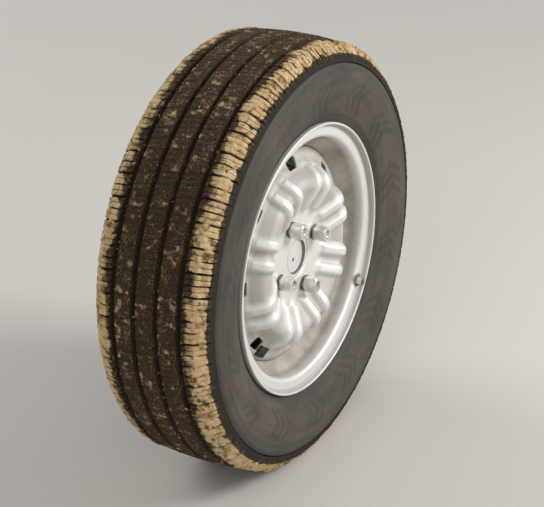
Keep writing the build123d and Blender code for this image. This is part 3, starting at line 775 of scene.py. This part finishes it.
def mirrored(half_outline):
    """An outline about the tyre's middle, from its outboard half drawn from the middle outwards."""
    outboard = [Vector((r, RIM_MIDDLE - w)) for r, w in half_outline]
    inboard = [Vector((r, RIM_MIDDLE + w)) for r, w in half_outline]
    shared = 1 if half_outline[0][1] == 0 else 0
    return outboard[::-1] + inboard[shared:]


class WHEEL_OT_tread(bpy.types.Operator):
    """Models the tyre's tread ring with its grooves, blocks, sipes and dried mud"""

    bl_idname = "wheel.tread"
    bl_label = "Tyre tread"

    def execute(self, context):
        shape = values(context.scene.tyre_shape)
        side = side_of_tyre(shape)
        shoulder = Vector((TYRE_R - shape.crown_drop, shape.tread_half))
        buttress_r = TYRE_R - shape.buttress_drop
        buttress = Vector((buttress_r, side(buttress_r)))
        parting_r = TYRE_R - shape.parting_drop
        grooves = (shape.groove_pitch * 0.5, shape.groove_pitch * 1.5)
        groove_half, floor_half = shape.groove_width / 2, shape.groove_width / 4
        groove_edge = grooves[1] + groove_half

        def crown(w):
            return TYRE_R - shape.crown_drop * (w / shape.tread_half) ** 2

        # The outside, from the middle over the grooves to the shoulder and down to the parting line
        marks = [0.0]
        for groove in grooves:
            marks += [groove + edge for edge in (-groove_half, -floor_half, floor_half, groove_half)]
        marks.append(shape.tread_half - 3.0)
        half = []
        longest, shoulder_bend = 3.9, 3.2
        for start, end in zip(marks, marks[1:]):
            count = ceil((end - start) / longest)
            half += [(crown(w), w) for w in (start + (end - start) * k / count for k in range(count))]
        half.append((crown(marks[-1]), marks[-1]))
        slope = [shoulder.lerp(buttress, k / 6) for k in range(7)]
        bent = rounded([(*half[-1], 0), (*shoulder, shoulder_bend), (*slope[1], 0)], 3)[1:-1]
        half += [tuple(point) for point in (*bent, *slope[1:])]
        lower = [buttress_r - (buttress_r - parting_r) * k / 3 for k in (1, 2, 3)]
        half += [(r, side(r)) for r in lower]
        liner = [(TYRE_R - 13, 0.0), (TYRE_R - 20, 62), (parting_r, side(parting_r) - 9)]
        outline = mirrored(half) + mirrored(liner)[::-1]

        # Cuts within one pitch: where, how wide, how deep on the shoulder and how deep on the ribs
        pitch_length = tau * TYRE_R / shape.pitches
        cuts = (
            (0.0, shape.notch, 5.0, 0.9), (0.25, shape.sipe, 2.0, 0.4),
            (0.5, shape.slot, 3.2, 0.6), (0.75, shape.sipe, 2.0, 0.4),
        )
        floor_share = 0.45
        stations = []
        for index, (where, width, on_shoulder, on_rib) in enumerate(cuts):
            reach = width / 2 / pitch_length
            floor = reach * floor_share
            bottoms = (where - floor, where + floor) if width > 2 * shape.sipe - NEAR else (where,)
            stations.append((where - reach, 0, 0))
            stations += [(bottom, on_shoulder, on_rib) for bottom in bottoms]
            stations.append((where + reach, 0, 0))
            following = cuts[(index + 1) % len(cuts)][0] or 1.0
            stations.append(((where + following) / 2, 0, 0))
        steps = len(stations) * shape.pitches

        bm = lathe(outline, steps, closed=True)
        mud = bm.verts.layers.float.new("mud")
        cut_shade = bm.verts.layers.float.new("cut_shade")
        slant, inward_lean, outward_lean = 0.035, 0.35, 0.7
        for vert in bm.verts:
            r = radius_of(vert.co)
            w = vert.co.y - RIM_MIDDLE
            across = abs(w)
            station = round(turn_of(vert.co) / tau * steps) % steps
            pitch, index = divmod(station, len(stations))
            where, on_shoulder, on_rib = stations[index]
            over_edge = across > shape.tread_half - 4
            under = r < crown(min(across, shape.tread_half)) - shape.groove_depth - 3 and not over_edge
            on_top = not under and r > parting_r + NEAR
            if under or r < parting_r + NEAR or (over_edge and across < side(r) - 8 and r < TYRE_R - 14):
                turn = tau * station / steps
            else:
                turn = tau * (pitch + where) / shape.pitches
            skew = slant * w / shape.tread_half if across < groove_edge + 1 else slant * copysign(1, w)
            direction = Vector((cos(turn + skew), 0, sin(turn + skew)))
            sloping = smooth_step(across, shape.tread_half - 3, shape.tread_half + 3)
            lean = Vector((0, copysign(outward_lean * sloping, w), 0))
            inward = (direction * (-1 + inward_lean * sloping) - lean).normalized()
            place = Vector((direction.x * r, vert.co.y, direction.z * r))

            # How deep the rubber is cut here
            in_groove = any(abs(across - groove) < floor_half + NEAR for groove in grooves) and not under
            depth = 0.0
            if on_top and in_groove:
                depth = shape.groove_depth
            elif on_top:
                blend = smooth_step(across, groove_edge - 1, groove_edge)
                depth = on_rib + (on_shoulder - on_rib) * blend
                depth *= smooth_step(r, buttress_r - 5, buttress_r + 2)

            # How much mud covers it, fills the cuts and stands proud
            lump = noise.fractal(place / 9, 0.8, 2.0, 4)
            grain = noise.noise(place / 3.5)
            drift = noise.noise(place / 34)
            caked = smooth_step(across + 5 * drift, groove_edge - 3, shape.tread_half - 1)
            caked *= smooth_step(r + 0.6 * lump, buttress_r + 0.5, buttress_r + 3)
            cover = caked * (0.78 + 0.42 * lump + 0.3 * drift)
            filled = smooth_step(drift + 0.7 * noise.noise(place / 11), -0.25, 0.45)
            if on_top and not in_groove:
                depth *= 1 - 0.85 * filled * caked
                cover = max(cover, 0.2 + 0.3 * lump + 0.12 * drift)
                cover *= smooth_step(r, buttress_r - 0.5, buttress_r + 2)
                heap = caked * (0.3 + 0.9 * lump + 0.6 * grain) + 0.35 * (1 - caked) * lump
                above = smooth_step(r, buttress_r - 4, buttress_r + 1)
                place -= inward * shape.mud_lump * max(0.0, heap) * above
            vert[mud] = max(0.0, cover) * (1 - 0.55 * smooth_step(depth, 0.3, 2.0))
            # Painted shade in the cuts, darker the deeper they are
            vert[cut_shade] = smooth_step(depth, 0.4, 3.0) * 0.9
            vert.co = place + inward * depth
        finish_piece(bm, "tyre_tread", "tyre", surface(caked_tread_rubber), crease=60)
        return {"FINISHED"}


class WHEEL_OT_casing(bpy.types.Operator):
    """Models the tyre's side walls, beads and inner liner"""

    bl_idname = "wheel.casing"
    bl_label = "Tyre side walls"

    def execute(self, context):
        shape = values(context.scene.tyre_shape)
        side = side_of_tyre(shape)
        parting_r = TYRE_R - shape.parting_drop
        parting_w = side(parting_r)
        bead_r = values(context.scene.wheel_shape).bead_seat_r
        foot_r, foot_w = bead_r + WALL_FOOT[0], BEAD_HALF + WALL_FOOT[1]

        # Under the tread and past the parting line, down the side wall, round the bead and back inside
        half = [
            (TYRE_R - 14, 0.0), (TYRE_R - 21, 61), (parting_r - 1.2, parting_w - 6),
            (parting_r - 1.2, parting_w - 0.9), (parting_r - 1.9, parting_w - 0.1),
        ]
        r = parting_r - 3.5
        while r > foot_r + 1:
            half.append((r, side(r)))
            r -= 2.1
        half += [
            (foot_r, foot_w), (bead_r + 17.0, BEAD_HALF + 3.5), (bead_r + 11.5, BEAD_HALF - 0.2),
            (bead_r + 3.5, BEAD_HALF - 0.2), (bead_r + 0.2, BEAD_HALF - 3.5),
            (bead_r - 1.2, BEAD_HALF - 16), (bead_r + 18.8, BEAD_HALF - 8),
            (TYRE_R - 70, 76), (TYRE_R - 43, 74), (TYRE_R - 20, 57),
        ]
        bm = lathe(mirrored(half), 640, closed=True)

        # Raised rings, and a band of arrows of three strokes each
        band_low, band_high = 196.0, 240.0
        rings = ((parting_r - 7, 1.0), (band_low - 1.5, 0.8), (band_high + 4, 0.7))
        ring_half = 2.4
        middle = (band_low + band_high) / 2
        arrows, lines, stroke, spacing, blur = 14, 3, 8.5, 17.0, 2.2
        tip, flare, arrow_rise = 24, 0.9, 0.5
        fade_in, fade_out = (band_low + 1, band_low + 4), (band_high - 4, band_high - 1)

        def arrow(place, r):
            back = (turn_of(place) / tau * arrows % 1.0) * tau * middle / arrows
            point = back + flare * abs(r - middle) - tip
            strokes = (
                1 - smooth_step(abs(point - line * spacing), stroke / 2 - blur, stroke / 2 + blur)
                for line in range(lines)
            )
            return max(strokes) * smooth_step(r, *fade_in) * (1 - smooth_step(r, *fade_out))

        def relief(place):
            r = radius_of(place)
            w = abs(place.y - RIM_MIDDLE)
            if w < side(max(min(r, parting_r), foot_r)) - 3 or r < foot_r:
                return 0.0
            raised = sum(rise * hump(r - ring_r, ring_half) for ring_r, rise in rings)
            return raised + arrow_rise * arrow(place, r)

        # How much of the dust stays: most on the band, and little on its arrows
        dust_in, dust_out, cleared = (band_low - 12, band_low + 4), (243, 262), 0.48
        wiped = bm.verts.layers.float.new("wiped")
        for vert in bm.verts:
            r = radius_of(vert.co)
            zone = smooth_step(r, *dust_in) * (1 - 0.7 * smooth_step(r, *dust_out))
            vert[wiped] = (0.4 + 0.6 * zone) * (1 - cleared * arrow(vert.co, r))
        press(bm, relief)
        finish_piece(bm, "tyre_casing", "tyre", surface(dusty_sidewall_rubber), crease=50)
        return {"FINISHED"}


class WHEEL_OT_soil(bpy.types.Operator):
    """Scatters dried crumbs of soil over the tread, in nests"""

    bl_idname = "wheel.soil"
    bl_label = "Soil on the tread"

    def execute(self, context):
        shape = values(context.scene.tyre_shape)
        chance = Random(7)
        nest_count, nest_reach, crumb_count, crumb_reach = 70, 70, 560, 73
        spread_w, spread_turn, highest_r = 9, 0.09, TYRE_R + 1.0
        bm = bmesh.new()
        nests = [
            (chance.uniform(0, tau), chance.uniform(-nest_reach, nest_reach)) for _ in range(nest_count)
        ]
        for _ in range(crumb_count):
            nest_turn, nest_w = chance.choice(nests)
            w = min(max(chance.gauss(nest_w, spread_w), -crumb_reach), crumb_reach)
            turn = nest_turn + chance.gauss(0, spread_turn)
            across = abs(w)
            drop = shape.crown_drop * (min(across, shape.tread_half) / shape.tread_half) ** 2
            drop += max(0.0, across - shape.tread_half)
            size = chance.uniform(0.5, 1.3) if chance.random() < 0.9 else chance.uniform(1.3, 3.2)
            r = TYRE_R - drop - 0.2 * size
            spot = Matrix.Translation((r * cos(turn), RIM_MIDDLE + w, r * sin(turn)))
            roll = Euler([chance.uniform(0, tau) for _ in range(3)]).to_matrix().to_4x4()
            stretch = Matrix.Diagonal((1.0, chance.uniform(0.6, 1.0), chance.uniform(0.5, 0.9), 1.0))
            made = bmesh.ops.create_icosphere(bm, subdivisions=1, radius=size, matrix=spot @ roll @ stretch)
            for vert in made["verts"]:
                vert.co += Vector([chance.uniform(-0.18, 0.18) * size for _ in range(3)])
                lowered = min(1.0, highest_r / radius_of(vert.co))
                vert.co.x *= lowered
                vert.co.z *= lowered
        finish_piece(bm, "tyre_soil", "tyre", surface(dried_gravel_soil), crease=80)
        return {"FINISHED"}


# Wheel

def well_radius(wheel):
    """The radius of the well's inner face, which the wheel disc is pressed into."""
    return wheel.bead_seat_r - wheel.well_depth - wheel.rim_sheet


class WHEEL_OT_rim(bpy.types.Operator):
    """Models the rolled rim from lip to lip"""

    bl_idname = "wheel.rim"
    bl_label = "Rim"

    def execute(self, context):
        wheel = values(context.scene.wheel_shape)
        sheet = wheel.rim_sheet
        seat_r = wheel.bead_seat_r - sheet
        seat_width, seat_taper = 20.0, radians(5)
        seat_end_r = seat_r - seat_width * tan(seat_taper)
        half = [
            (LIP_R - sheet, 0.2, 0), (LIP_R - sheet, FLANGE - sheet, 3.5), (seat_r, FLANGE - sheet, 5.5),
            (seat_end_r, FLANGE + 18.5, 8.5), (well_radius(wheel), FLANGE + 31.5, 5.5),
        ]
        corners = [(r, RIM_FACE + along, bend) for r, along, bend in half]
        corners += [(r, RIM_BACK - along, bend) for r, along, bend in reversed(half)]
        bm = lathe(stepped(rounded(corners, 6), 6), 256)
        probe = min(bm.faces, key=lambda face: abs(face.calc_center_median().y - RIM_MIDDLE))
        outward = probe.calc_center_median() * Vector((1, 0, 1))
        if probe.normal.dot(outward) > 0:
            bmesh.ops.reverse_faces(bm, faces=bm.faces)
        rim = finish_piece(bm, "rolled_rim", "rim", surface(silver_wheel_enamel))
        thicken(rim, sheet)
        soften(rim, 0.9)
        return {"FINISHED"}


class WHEEL_OT_disc(bpy.types.Operator):
    """Models the pressed wheel disc with its ridged spokes and vents"""

    bl_idname = "wheel.disc"
    bl_label = "Wheel disc"

    def execute(self, context):
        wheel = values(context.scene.wheel_shape)
        front = WHEEL_SEAT - wheel.sheet
        edge_r = well_radius(wheel) - 0.1
        corners = [
            (wheel.bore_r, front, 0), (wheel.flat_r, front, 14),
            (wheel.crown_r, front - wheel.crown_rise, 13), (wheel.foot_r, front + wheel.foot_drop, 10),
            (edge_r, front + wheel.edge_drop, 7), (edge_r, front + 50, 0),
        ]
        bm = skin(stepped(rounded(corners, 7), 2.0), 456)
        spoke_angle = tau / wheel.spokes
        ridge_in, ridge_out = (54, 70), (116, 131)
        valley_shade_in, valley_shade_out = (56, 74), (126, 136)

        def ridge(place):
            r = radius_of(place)
            turn = turn_of(place) - wheel.first_spoke
            turn -= round(turn / spoke_angle) * spoke_angle
            along, across = r * cos(turn), r * sin(turn)
            rise = smooth_step(along, *ridge_in) * (1 - smooth_step(along, *ridge_out))
            off_top = abs(abs(across) - wheel.rib_spacing / 2)
            return rise * (1 - smooth_step(off_top, wheel.rib_flat, wheel.rib_half))

        # Between the spoke ridges: road film with painted shade, which the enamel reads
        valley_film_and_shade = bm.verts.layers.float.new("valley_film_and_shade")
        for vert in bm.verts:
            r = radius_of(vert.co)
            zone = smooth_step(r, *valley_shade_in) * (1 - smooth_step(r, *valley_shade_out))
            vert[valley_film_and_shade] = zone * (1 - ridge(vert.co))
        press(bm, lambda place: wheel.rib_rise * ridge(place))

        inner, outer = wheel.vent_r - wheel.vent_height / 2, wheel.vent_r + wheel.vent_height / 2
        flare = 1.5
        narrow, broad = wheel.vent_width / 2 - flare, wheel.vent_width / 2 + flare
        corners = [(inner, -narrow), (outer, -broad), (outer, broad), (inner, narrow)]
        window = rounded([(*corner, wheel.vent_corner) for corner in corners], 4)
        for vent in range(wheel.spokes):
            angle = wheel.first_spoke + (vent + 0.5) * spoke_angle
            centre = turned_outline([(wheel.vent_r, 0)], angle)[0]
            cut_window(bm, centre, turned_outline(window, angle), 26)
        disc = finish_piece(bm, "pressed_disc", "wheel_disc", surface(silver_wheel_enamel), crease=50)
        thicken(disc, wheel.sheet)
        return {"FINISHED"}


class WHEEL_OT_nuts(bpy.types.Operator):
    """Models the wheel nuts and the threaded ends of the studs"""

    bl_idname = "wheel.nuts"
    bl_label = "Nuts and studs"

    def execute(self, context):
        plate = surface(zinc_plated_steel)
        pitch, depth, turns, stud_r, foot_r = 1.5, 0.8, 8, 6.0, 9.0
        back = high("wheel_stud_1").y
        seat = back - 4.0
        outline = [(0.0, STUD_FRONT), (stud_r - 2.2, STUD_FRONT)]
        for ring in range(turns):
            start = STUD_FRONT + 0.9 + ring * pitch
            outline += [
                (stud_r - depth, start), (stud_r, start + pitch * 0.4), (stud_r, start + pitch * 0.6),
            ]
        outline += [
            (stud_r, STUD_FRONT + 14), (stud_r, seat), (foot_r, seat), (foot_r, back - 1),
            (foot_r - 1, back), (0.0, back),
        ]
        for index in (1, 2, 3, 4):
            nut, stud = f"wheel_nut_{index}", f"wheel_stud_{index}"
            dress(nut, f"open_nut_{index}", plate, 0.5)
            bm = lathe(outline, 40)
            move_to(bm, nut)
            finish_piece(bm, f"threaded_stud_{index}", stud, plate, crease=40)
        return {"FINISHED"}


class WHEEL_OT_cap(bpy.types.Operator):
    """Models the dished grease cap with its small hole"""

    bl_idname = "wheel.cap"
    bl_label = "Grease cap"

    def execute(self, context):
        edge, floor_r, mouth_r = CAP_FRONT + 1.5, 22.4, 23.2
        corners = [
            (0.0, CAP_FRONT + CAP_DISH, 0), (floor_r, CAP_FRONT + CAP_DISH, 1.6), (mouth_r, CAP_FRONT, 1.2),
            (CAP_R, CAP_FRONT, 1.0), (CAP_R, edge, 0),
        ]
        bm = skin(stepped(rounded(corners, 4), 3.0), 96)
        hole_r, sides = 1.5, 14
        turns = [tau * side / sides for side in range(sides)]
        hole = [(CAP_HOLE.x + hole_r * cos(turn), CAP_HOLE.z + hole_r * sin(turn)) for turn in turns]
        cut_window(bm, (CAP_HOLE.x, CAP_HOLE.z), hole, 6)
        cap = finish_piece(bm, "dished_cap", "grease_cap", surface(silver_wheel_enamel), crease=50)
        thicken(cap, 1.2)
        return {"FINISHED"}


class WHEEL_OT_valve(bpy.types.Operator):
    """Models the rubber valve with its ribbed cap"""

    bl_idname = "wheel.valve"
    bl_label = "Tyre valve"

    def execute(self, context):
        rubber = surface(moulded_black_rubber)
        front, joint, back = low("valve_cap").y, high("valve_cap").y, high("valve_stem").y
        outline = rounded([
            (0.0, joint - 1, 0), (3.2, joint - 1, 0), (3.2, joint + 2, 0.4), (4.4, joint + 6, 0.8),
            (4.6, back - 9, 0.8), (4.6, back - 3, 0.5), (6.0, back - 2.6, 0.6), (6.0, back, 0.6),
            (0.0, back, 0),
        ], 3)
        bm = lathe(outline, 40)
        move_to(bm, "valve_cap")
        finish_piece(bm, "valve_body", "valve_stem", rubber)

        outline = rounded([
            (0.0, front, 0), (3.0, front, 0.8), (3.9, front + 1.6, 0.6), (3.9, joint, 0.4), (2.0, joint, 0),
        ], 3)
        bm = lathe(stepped(outline, 2.5), 48)
        flutes, flute_depth = 12, 0.05
        for vert in bm.verts:
            if front + 1.7 < vert.co.y < joint - 0.5:
                drawn_in = 1 - flute_depth * (1 + cos(flutes * turn_of(vert.co)))
                vert.co.x *= drawn_in
                vert.co.z *= drawn_in
        move_to(bm, "valve_cap")
        finish_piece(bm, "valve_dust_cap", "valve_cap", rubber)
        return {"FINISHED"}


def part_ring(outline, turn, sweep, steps):
    """A part of a ring with this closed outline, its middle at the turn."""
    bm = lathe(outline, steps, closed=True, sweep=sweep)
    bmesh.ops.rotate(bm, cent=(0, 0, 0), matrix=Matrix.Rotation(-turn - sweep / 2, 3, "Y"), verts=bm.verts)
    return bm


class WHEEL_OT_weight(bpy.types.Operator):
    """Models the clip-on balance weight behind the rim's lip, and the one stuck beside a vent"""

    bl_idname = "wheel.weight"
    bl_label = "Balance weights"

    def execute(self, context):
        node = "balance_weight"
        front, back = low(node).y, high(node).y
        middle = centre_of(node)
        inner = radius_of(middle) - 5.0
        outer = inner + 10
        across = radius_of(high(node) - low(node)) * 0.42
        outline = rounded([
            (inner, front + 1.6, 1.5), (outer, front, 1.5), (outer, back, 0.6), (inner, back, 0.6),
        ], 3)
        bm = part_ring(outline, turn_of(middle), across / inner, 14)
        soften(finish_piece(bm, "clip_weight", node, surface(die_cast_weight_alloy)), 0.5)

        # The other lies on the ring of vents, along the disc's slope
        wheel = values(context.scene.wheel_shape)
        slope = (wheel.edge_drop - wheel.foot_drop) / (well_radius(wheel) - wheel.foot_r)
        foot = WHEEL_SEAT - wheel.sheet + wheel.foot_drop
        inner, outer, thick, sunk = 126.5, 140.5, 3.5, 0.5
        turn, sweep = radians(231.6), radians(8.6)
        low_y, high_y = (foot + slope * (r - wheel.foot_r) for r in (inner, outer))
        outline = rounded([
            (inner, low_y - thick, 1.0), (outer, high_y - thick, 1.0),
            (outer, high_y + sunk, 0.3), (inner, low_y + sunk, 0.3),
        ], 3)
        bm = part_ring(outline, turn, sweep, 8)
        stuck = finish_piece(bm, "stuck_weight", node, surface(stick_on_weight_lead), stands_for=False)
        soften(stuck, 0.6)
        return {"FINISHED"}


# Hub, brake and axle

class WHEEL_OT_hub(bpy.types.Operator):
    """Finishes the hub, bearings and seal"""

    bl_idname = "wheel.hub"
    bl_label = "Hub and bearings"

    def execute(self, context):
        dress("hub", "hub_forging", surface(forged_steel), 0.8)
        for node in ("outer_bearing", "inner_bearing"):
            paint_node(node, surface(ground_bearing_steel))
        paint_node("hub_seal", surface(moulded_black_rubber))
        return {"FINISHED"}


class WHEEL_OT_brake(bpy.types.Operator):
    """Finishes the brake disc and models the pads with their backing plates"""

    bl_idname = "wheel.brake"
    bl_label = "Brake disc and pads"

    def execute(self, context):
        dress("brake_disc", "iron_brake_disc", surface(braked_grey_iron), 0.7)
        plate_thick = 4.0
        for node, side in (("brake_pad_inner", 1), ("brake_pad_outer", -1)):
            outer = high(node).y if side > 0 else low(node).y
            joint = outer - side * plate_thick
            for name, keep, material, edge in (
                ("backing", side, black_coated_sheet, 0.5), ("lining", -side, pressed_friction_lining, 0.9),
            ):
                bm = packed_copy(node)
                cut = bmesh.ops.bisect_plane(
                    bm, geom=[*bm.verts, *bm.edges, *bm.faces], dist=1e-4, plane_co=(0, joint, 0),
                    plane_no=(0, -keep, 0), clear_outer=True,
                )
                rim = [item for item in cut["geom_cut"] if isinstance(item, bmesh.types.BMEdge)]
                bmesh.ops.holes_fill(bm, edges=rim, sides=0)
                soften(finish_piece(bm, f"{node}_{name}", node, surface(material)), edge)
        return {"FINISHED"}


class WHEEL_OT_caliper(bpy.types.Operator):
    """Finishes the caliper, its bracket, guide pins, boots, bolts and bleed screw"""

    bl_idname = "wheel.caliper"
    bl_label = "Caliper"

    def execute(self, context):
        cast = surface(bare_sand_cast_iron)
        plate = surface(zinc_plated_steel)
        dress("caliper_body", "caliper_casting", cast, 1.6)
        dress("caliper_bracket", "bracket_casting", cast, 1.4)
        paint_node("caliper_piston", surface(ground_bearing_steel))
        dress("bleed_screw", "bleed_nipple", plate, 0.4)
        folds, bore_r, collar_r = 6, 4.7, 7.0
        for spot in (1, 2):
            dress(f"guide_pin_{spot}", f"guide_bolt_{spot}", plate, 0.5)
            dress(f"bracket_bolt_{spot}", f"bracket_screw_{spot}", plate, 0.6)
            node = f"guide_boot_{spot}"
            front, back = low(node).y, high(node).y
            outline = [(bore_r, front), (collar_r, front)]
            for fold in range(folds):
                start = front + (back - front) * (fold + 0.15) / folds
                outline += [(7.4, start), (7.4, start + 1.0), (5.6, start + 2.0), (5.6, start + 2.6)]
            outline = [point for point in outline if point[1] < back - 0.5]
            bm = lathe(outline + [(collar_r, back), (bore_r, back)], 36, closed=True)
            move_to(bm, node)
            finish_piece(bm, f"bellows_boot_{spot}", node, surface(moulded_black_rubber), crease=70)
        return {"FINISHED"}


class WHEEL_OT_axle(bpy.types.Operator):
    """Finishes the stub axle, its nut and washer, and the splash shield"""

    bl_idname = "wheel.axle"
    bl_label = "Stub axle and shield"

    def execute(self, context):
        plate = surface(zinc_plated_steel)
        dress("stub_axle", "stub_axle_forging", surface(forged_steel), 1.2)
        dress("axle_nut", "castle_nut", plate, 0.6)
        dress("axle_washer", "thrust_washer", plate, 0.3)
        dress("splash_shield", "dust_shield", surface(black_coated_sheet), 0.3)
        return {"FINISHED"}


class WHEEL_OT_stage(bpy.types.Operator):
    """Makes the pale floor, the soft lights and the camera"""

    bl_idname = "wheel.stage"
    bl_label = "Stage"

    def execute(self, context):
        scene = context.scene
        paint = values(scene.wheel_finish)
        backdrop = linear(BACKDROP)
        bm = bmesh.new()
        bmesh.ops.create_circle(bm, cap_ends=True, segments=96, radius=14.0)
        bmesh.ops.translate(bm, vec=(0, 0, -TYRE_R * MM), verts=bm.verts)
        floor = to_scene(to_mesh(bm, "studio_floor"), "studio_floor")

        # Painted studio floor: matt, with the faintest mottling, and lost in the backdrop far away
        matte = bpy.data.materials.new("matt_studio_floor")
        node = emptied(matte)
        place = node("TexCoord", out="Object")
        mottle = node("TexNoise", (place, per_metre(400), 3.0))
        warm = [channel * 0.96 for channel in paint.floor[:3]] + [1.0]
        tone = node("Mix", (mottle, paint.floor, warm), data_type="RGBA")
        shader = node("BsdfPrincipled", {"Base Color": tone, "Roughness": 0.9, "Specular IOR Level": 0.2})
        reach = node("VectorMath", (place,), operation="LENGTH")
        far = node("MapRange", (reach, *FADE))
        lost = node("Math", (far, node("LightPath", out="Is Camera Ray")), operation="MULTIPLY")
        haze = node("Emission", (backdrop, BACKDROP_SEEN))
        node("OutputMaterial", {"Surface": node("MixShader", (lost, shader, haze))})
        floor.data.materials.append(matte)

        world = bpy.data.worlds.new("studio")
        scene.world = world
        node = emptied(world)
        path = node("LightPath").node.outputs
        looking = node("Math", (path["Is Camera Ray"], path["Is Glossy Ray"]), operation="MAXIMUM")
        showing = node("Math", (looking, path["Is Transmission Ray"]), operation="MAXIMUM")
        strength = node("MapRange", (showing, 0.0, 1.0, BACKDROP_LIGHT, BACKDROP_SEEN))
        node("OutputWorld", {"Surface": node("Background", (backdrop, strength))})

        target = Vector((0.0, RIM_MIDDLE * MM, 0.0))
        # Soft boxes round the wheel: where they stand and their size in metres, and their power in watts
        for name, place, size, power in (
            ("key", (1.2, -2.7, 1.55), 1.2, 84),
            ("fill", (-2.8, -1.0, 1.9), 2.4, 27),
            ("back", (0.4, 2.8, 2.2), 2.0, 44),
        ):
            data = bpy.data.lights.new(name, "AREA")
            data.size = size
            data.energy = power
            lamp = to_scene(data, name)
            lamp.location = place
            lamp.rotation_mode = "QUATERNION"
            lamp.rotation_quaternion = (target - Vector(place)).to_track_quat("-Z", "Y")

        # The photograph's place: azimuth, height and roll seen from the wheel's outer face
        azimuth, rise, roll, distance = radians(-61.19), radians(26.22), radians(1.56), 2.3112
        away = Vector((sin(azimuth) * cos(rise), -cos(azimuth) * cos(rise), sin(rise)))
        eye = Vector((0.0, RIM_FACE * MM, 0.0)) + away * distance
        aim = Vector((0.0, -0.055, -0.004))
        back = (eye - aim).normalized()
        level = Vector((0, 0, 1)).cross(back).normalized()
        upright = back.cross(level)
        right = level * cos(roll) - upright * sin(roll)
        up = level * sin(roll) + upright * cos(roll)
        data = bpy.data.cameras.new("camera")
        data.lens = 117.0
        data.sensor_width = 36.0
        camera = to_scene(data, "camera")
        camera.matrix_world = Matrix.Translation(eye) @ Matrix((right, up, back)).transposed().to_4x4()
        scene.camera = camera
        scene.view_settings.view_transform = "Standard"
        return {"FINISHED"}


class WHEEL_PT_sidebar(bpy.types.Panel):
    """Lists the steps that build the wheel corner"""

    bl_idname = "WHEEL_PT_sidebar"
    bl_label = "Wheel corner"
    bl_space_type = "VIEW_3D"
    bl_region_type = "UI"
    bl_category = "Wheel"

    def draw(self, context):
        for group in GROUPS:
            box = self.layout.box()
            settings = getattr(context.scene, group)
            for key in settings.bl_rna.properties.keys():
                if key not in ("rna_type", "name"):
                    box.prop(settings, key)
        for step in STEPS:
            self.layout.operator(step.bl_idname)


STEPS = (
    WHEEL_OT_stage, WHEEL_OT_tread, WHEEL_OT_casing, WHEEL_OT_soil, WHEEL_OT_rim, WHEEL_OT_disc,
    WHEEL_OT_nuts, WHEEL_OT_cap, WHEEL_OT_valve, WHEEL_OT_weight, WHEEL_OT_hub, WHEEL_OT_brake,
    WHEEL_OT_caliper, WHEEL_OT_axle,
)
GROUPS = {"tyre_shape": TyreShape, "wheel_shape": WheelShape, "wheel_finish": Finish}


def register():
    for cls in (*GROUPS.values(), *STEPS, WHEEL_PT_sidebar):
        bpy.utils.register_class(cls)
    for name, group in GROUPS.items():
        setattr(bpy.types.Scene, name, PointerProperty(type=group))


def unregister():
    for name in GROUPS:
        delattr(bpy.types.Scene, name)
    for cls in (WHEEL_PT_sidebar, *reversed(STEPS), *reversed(GROUPS.values())):
        bpy.utils.unregister_class(cls)


def main():
    register()
    for step in STEPS:
        group, action = step.bl_idname.split(".")
        getattr(getattr(bpy.ops, group), action)()


if __name__ == "__main__":
    main()
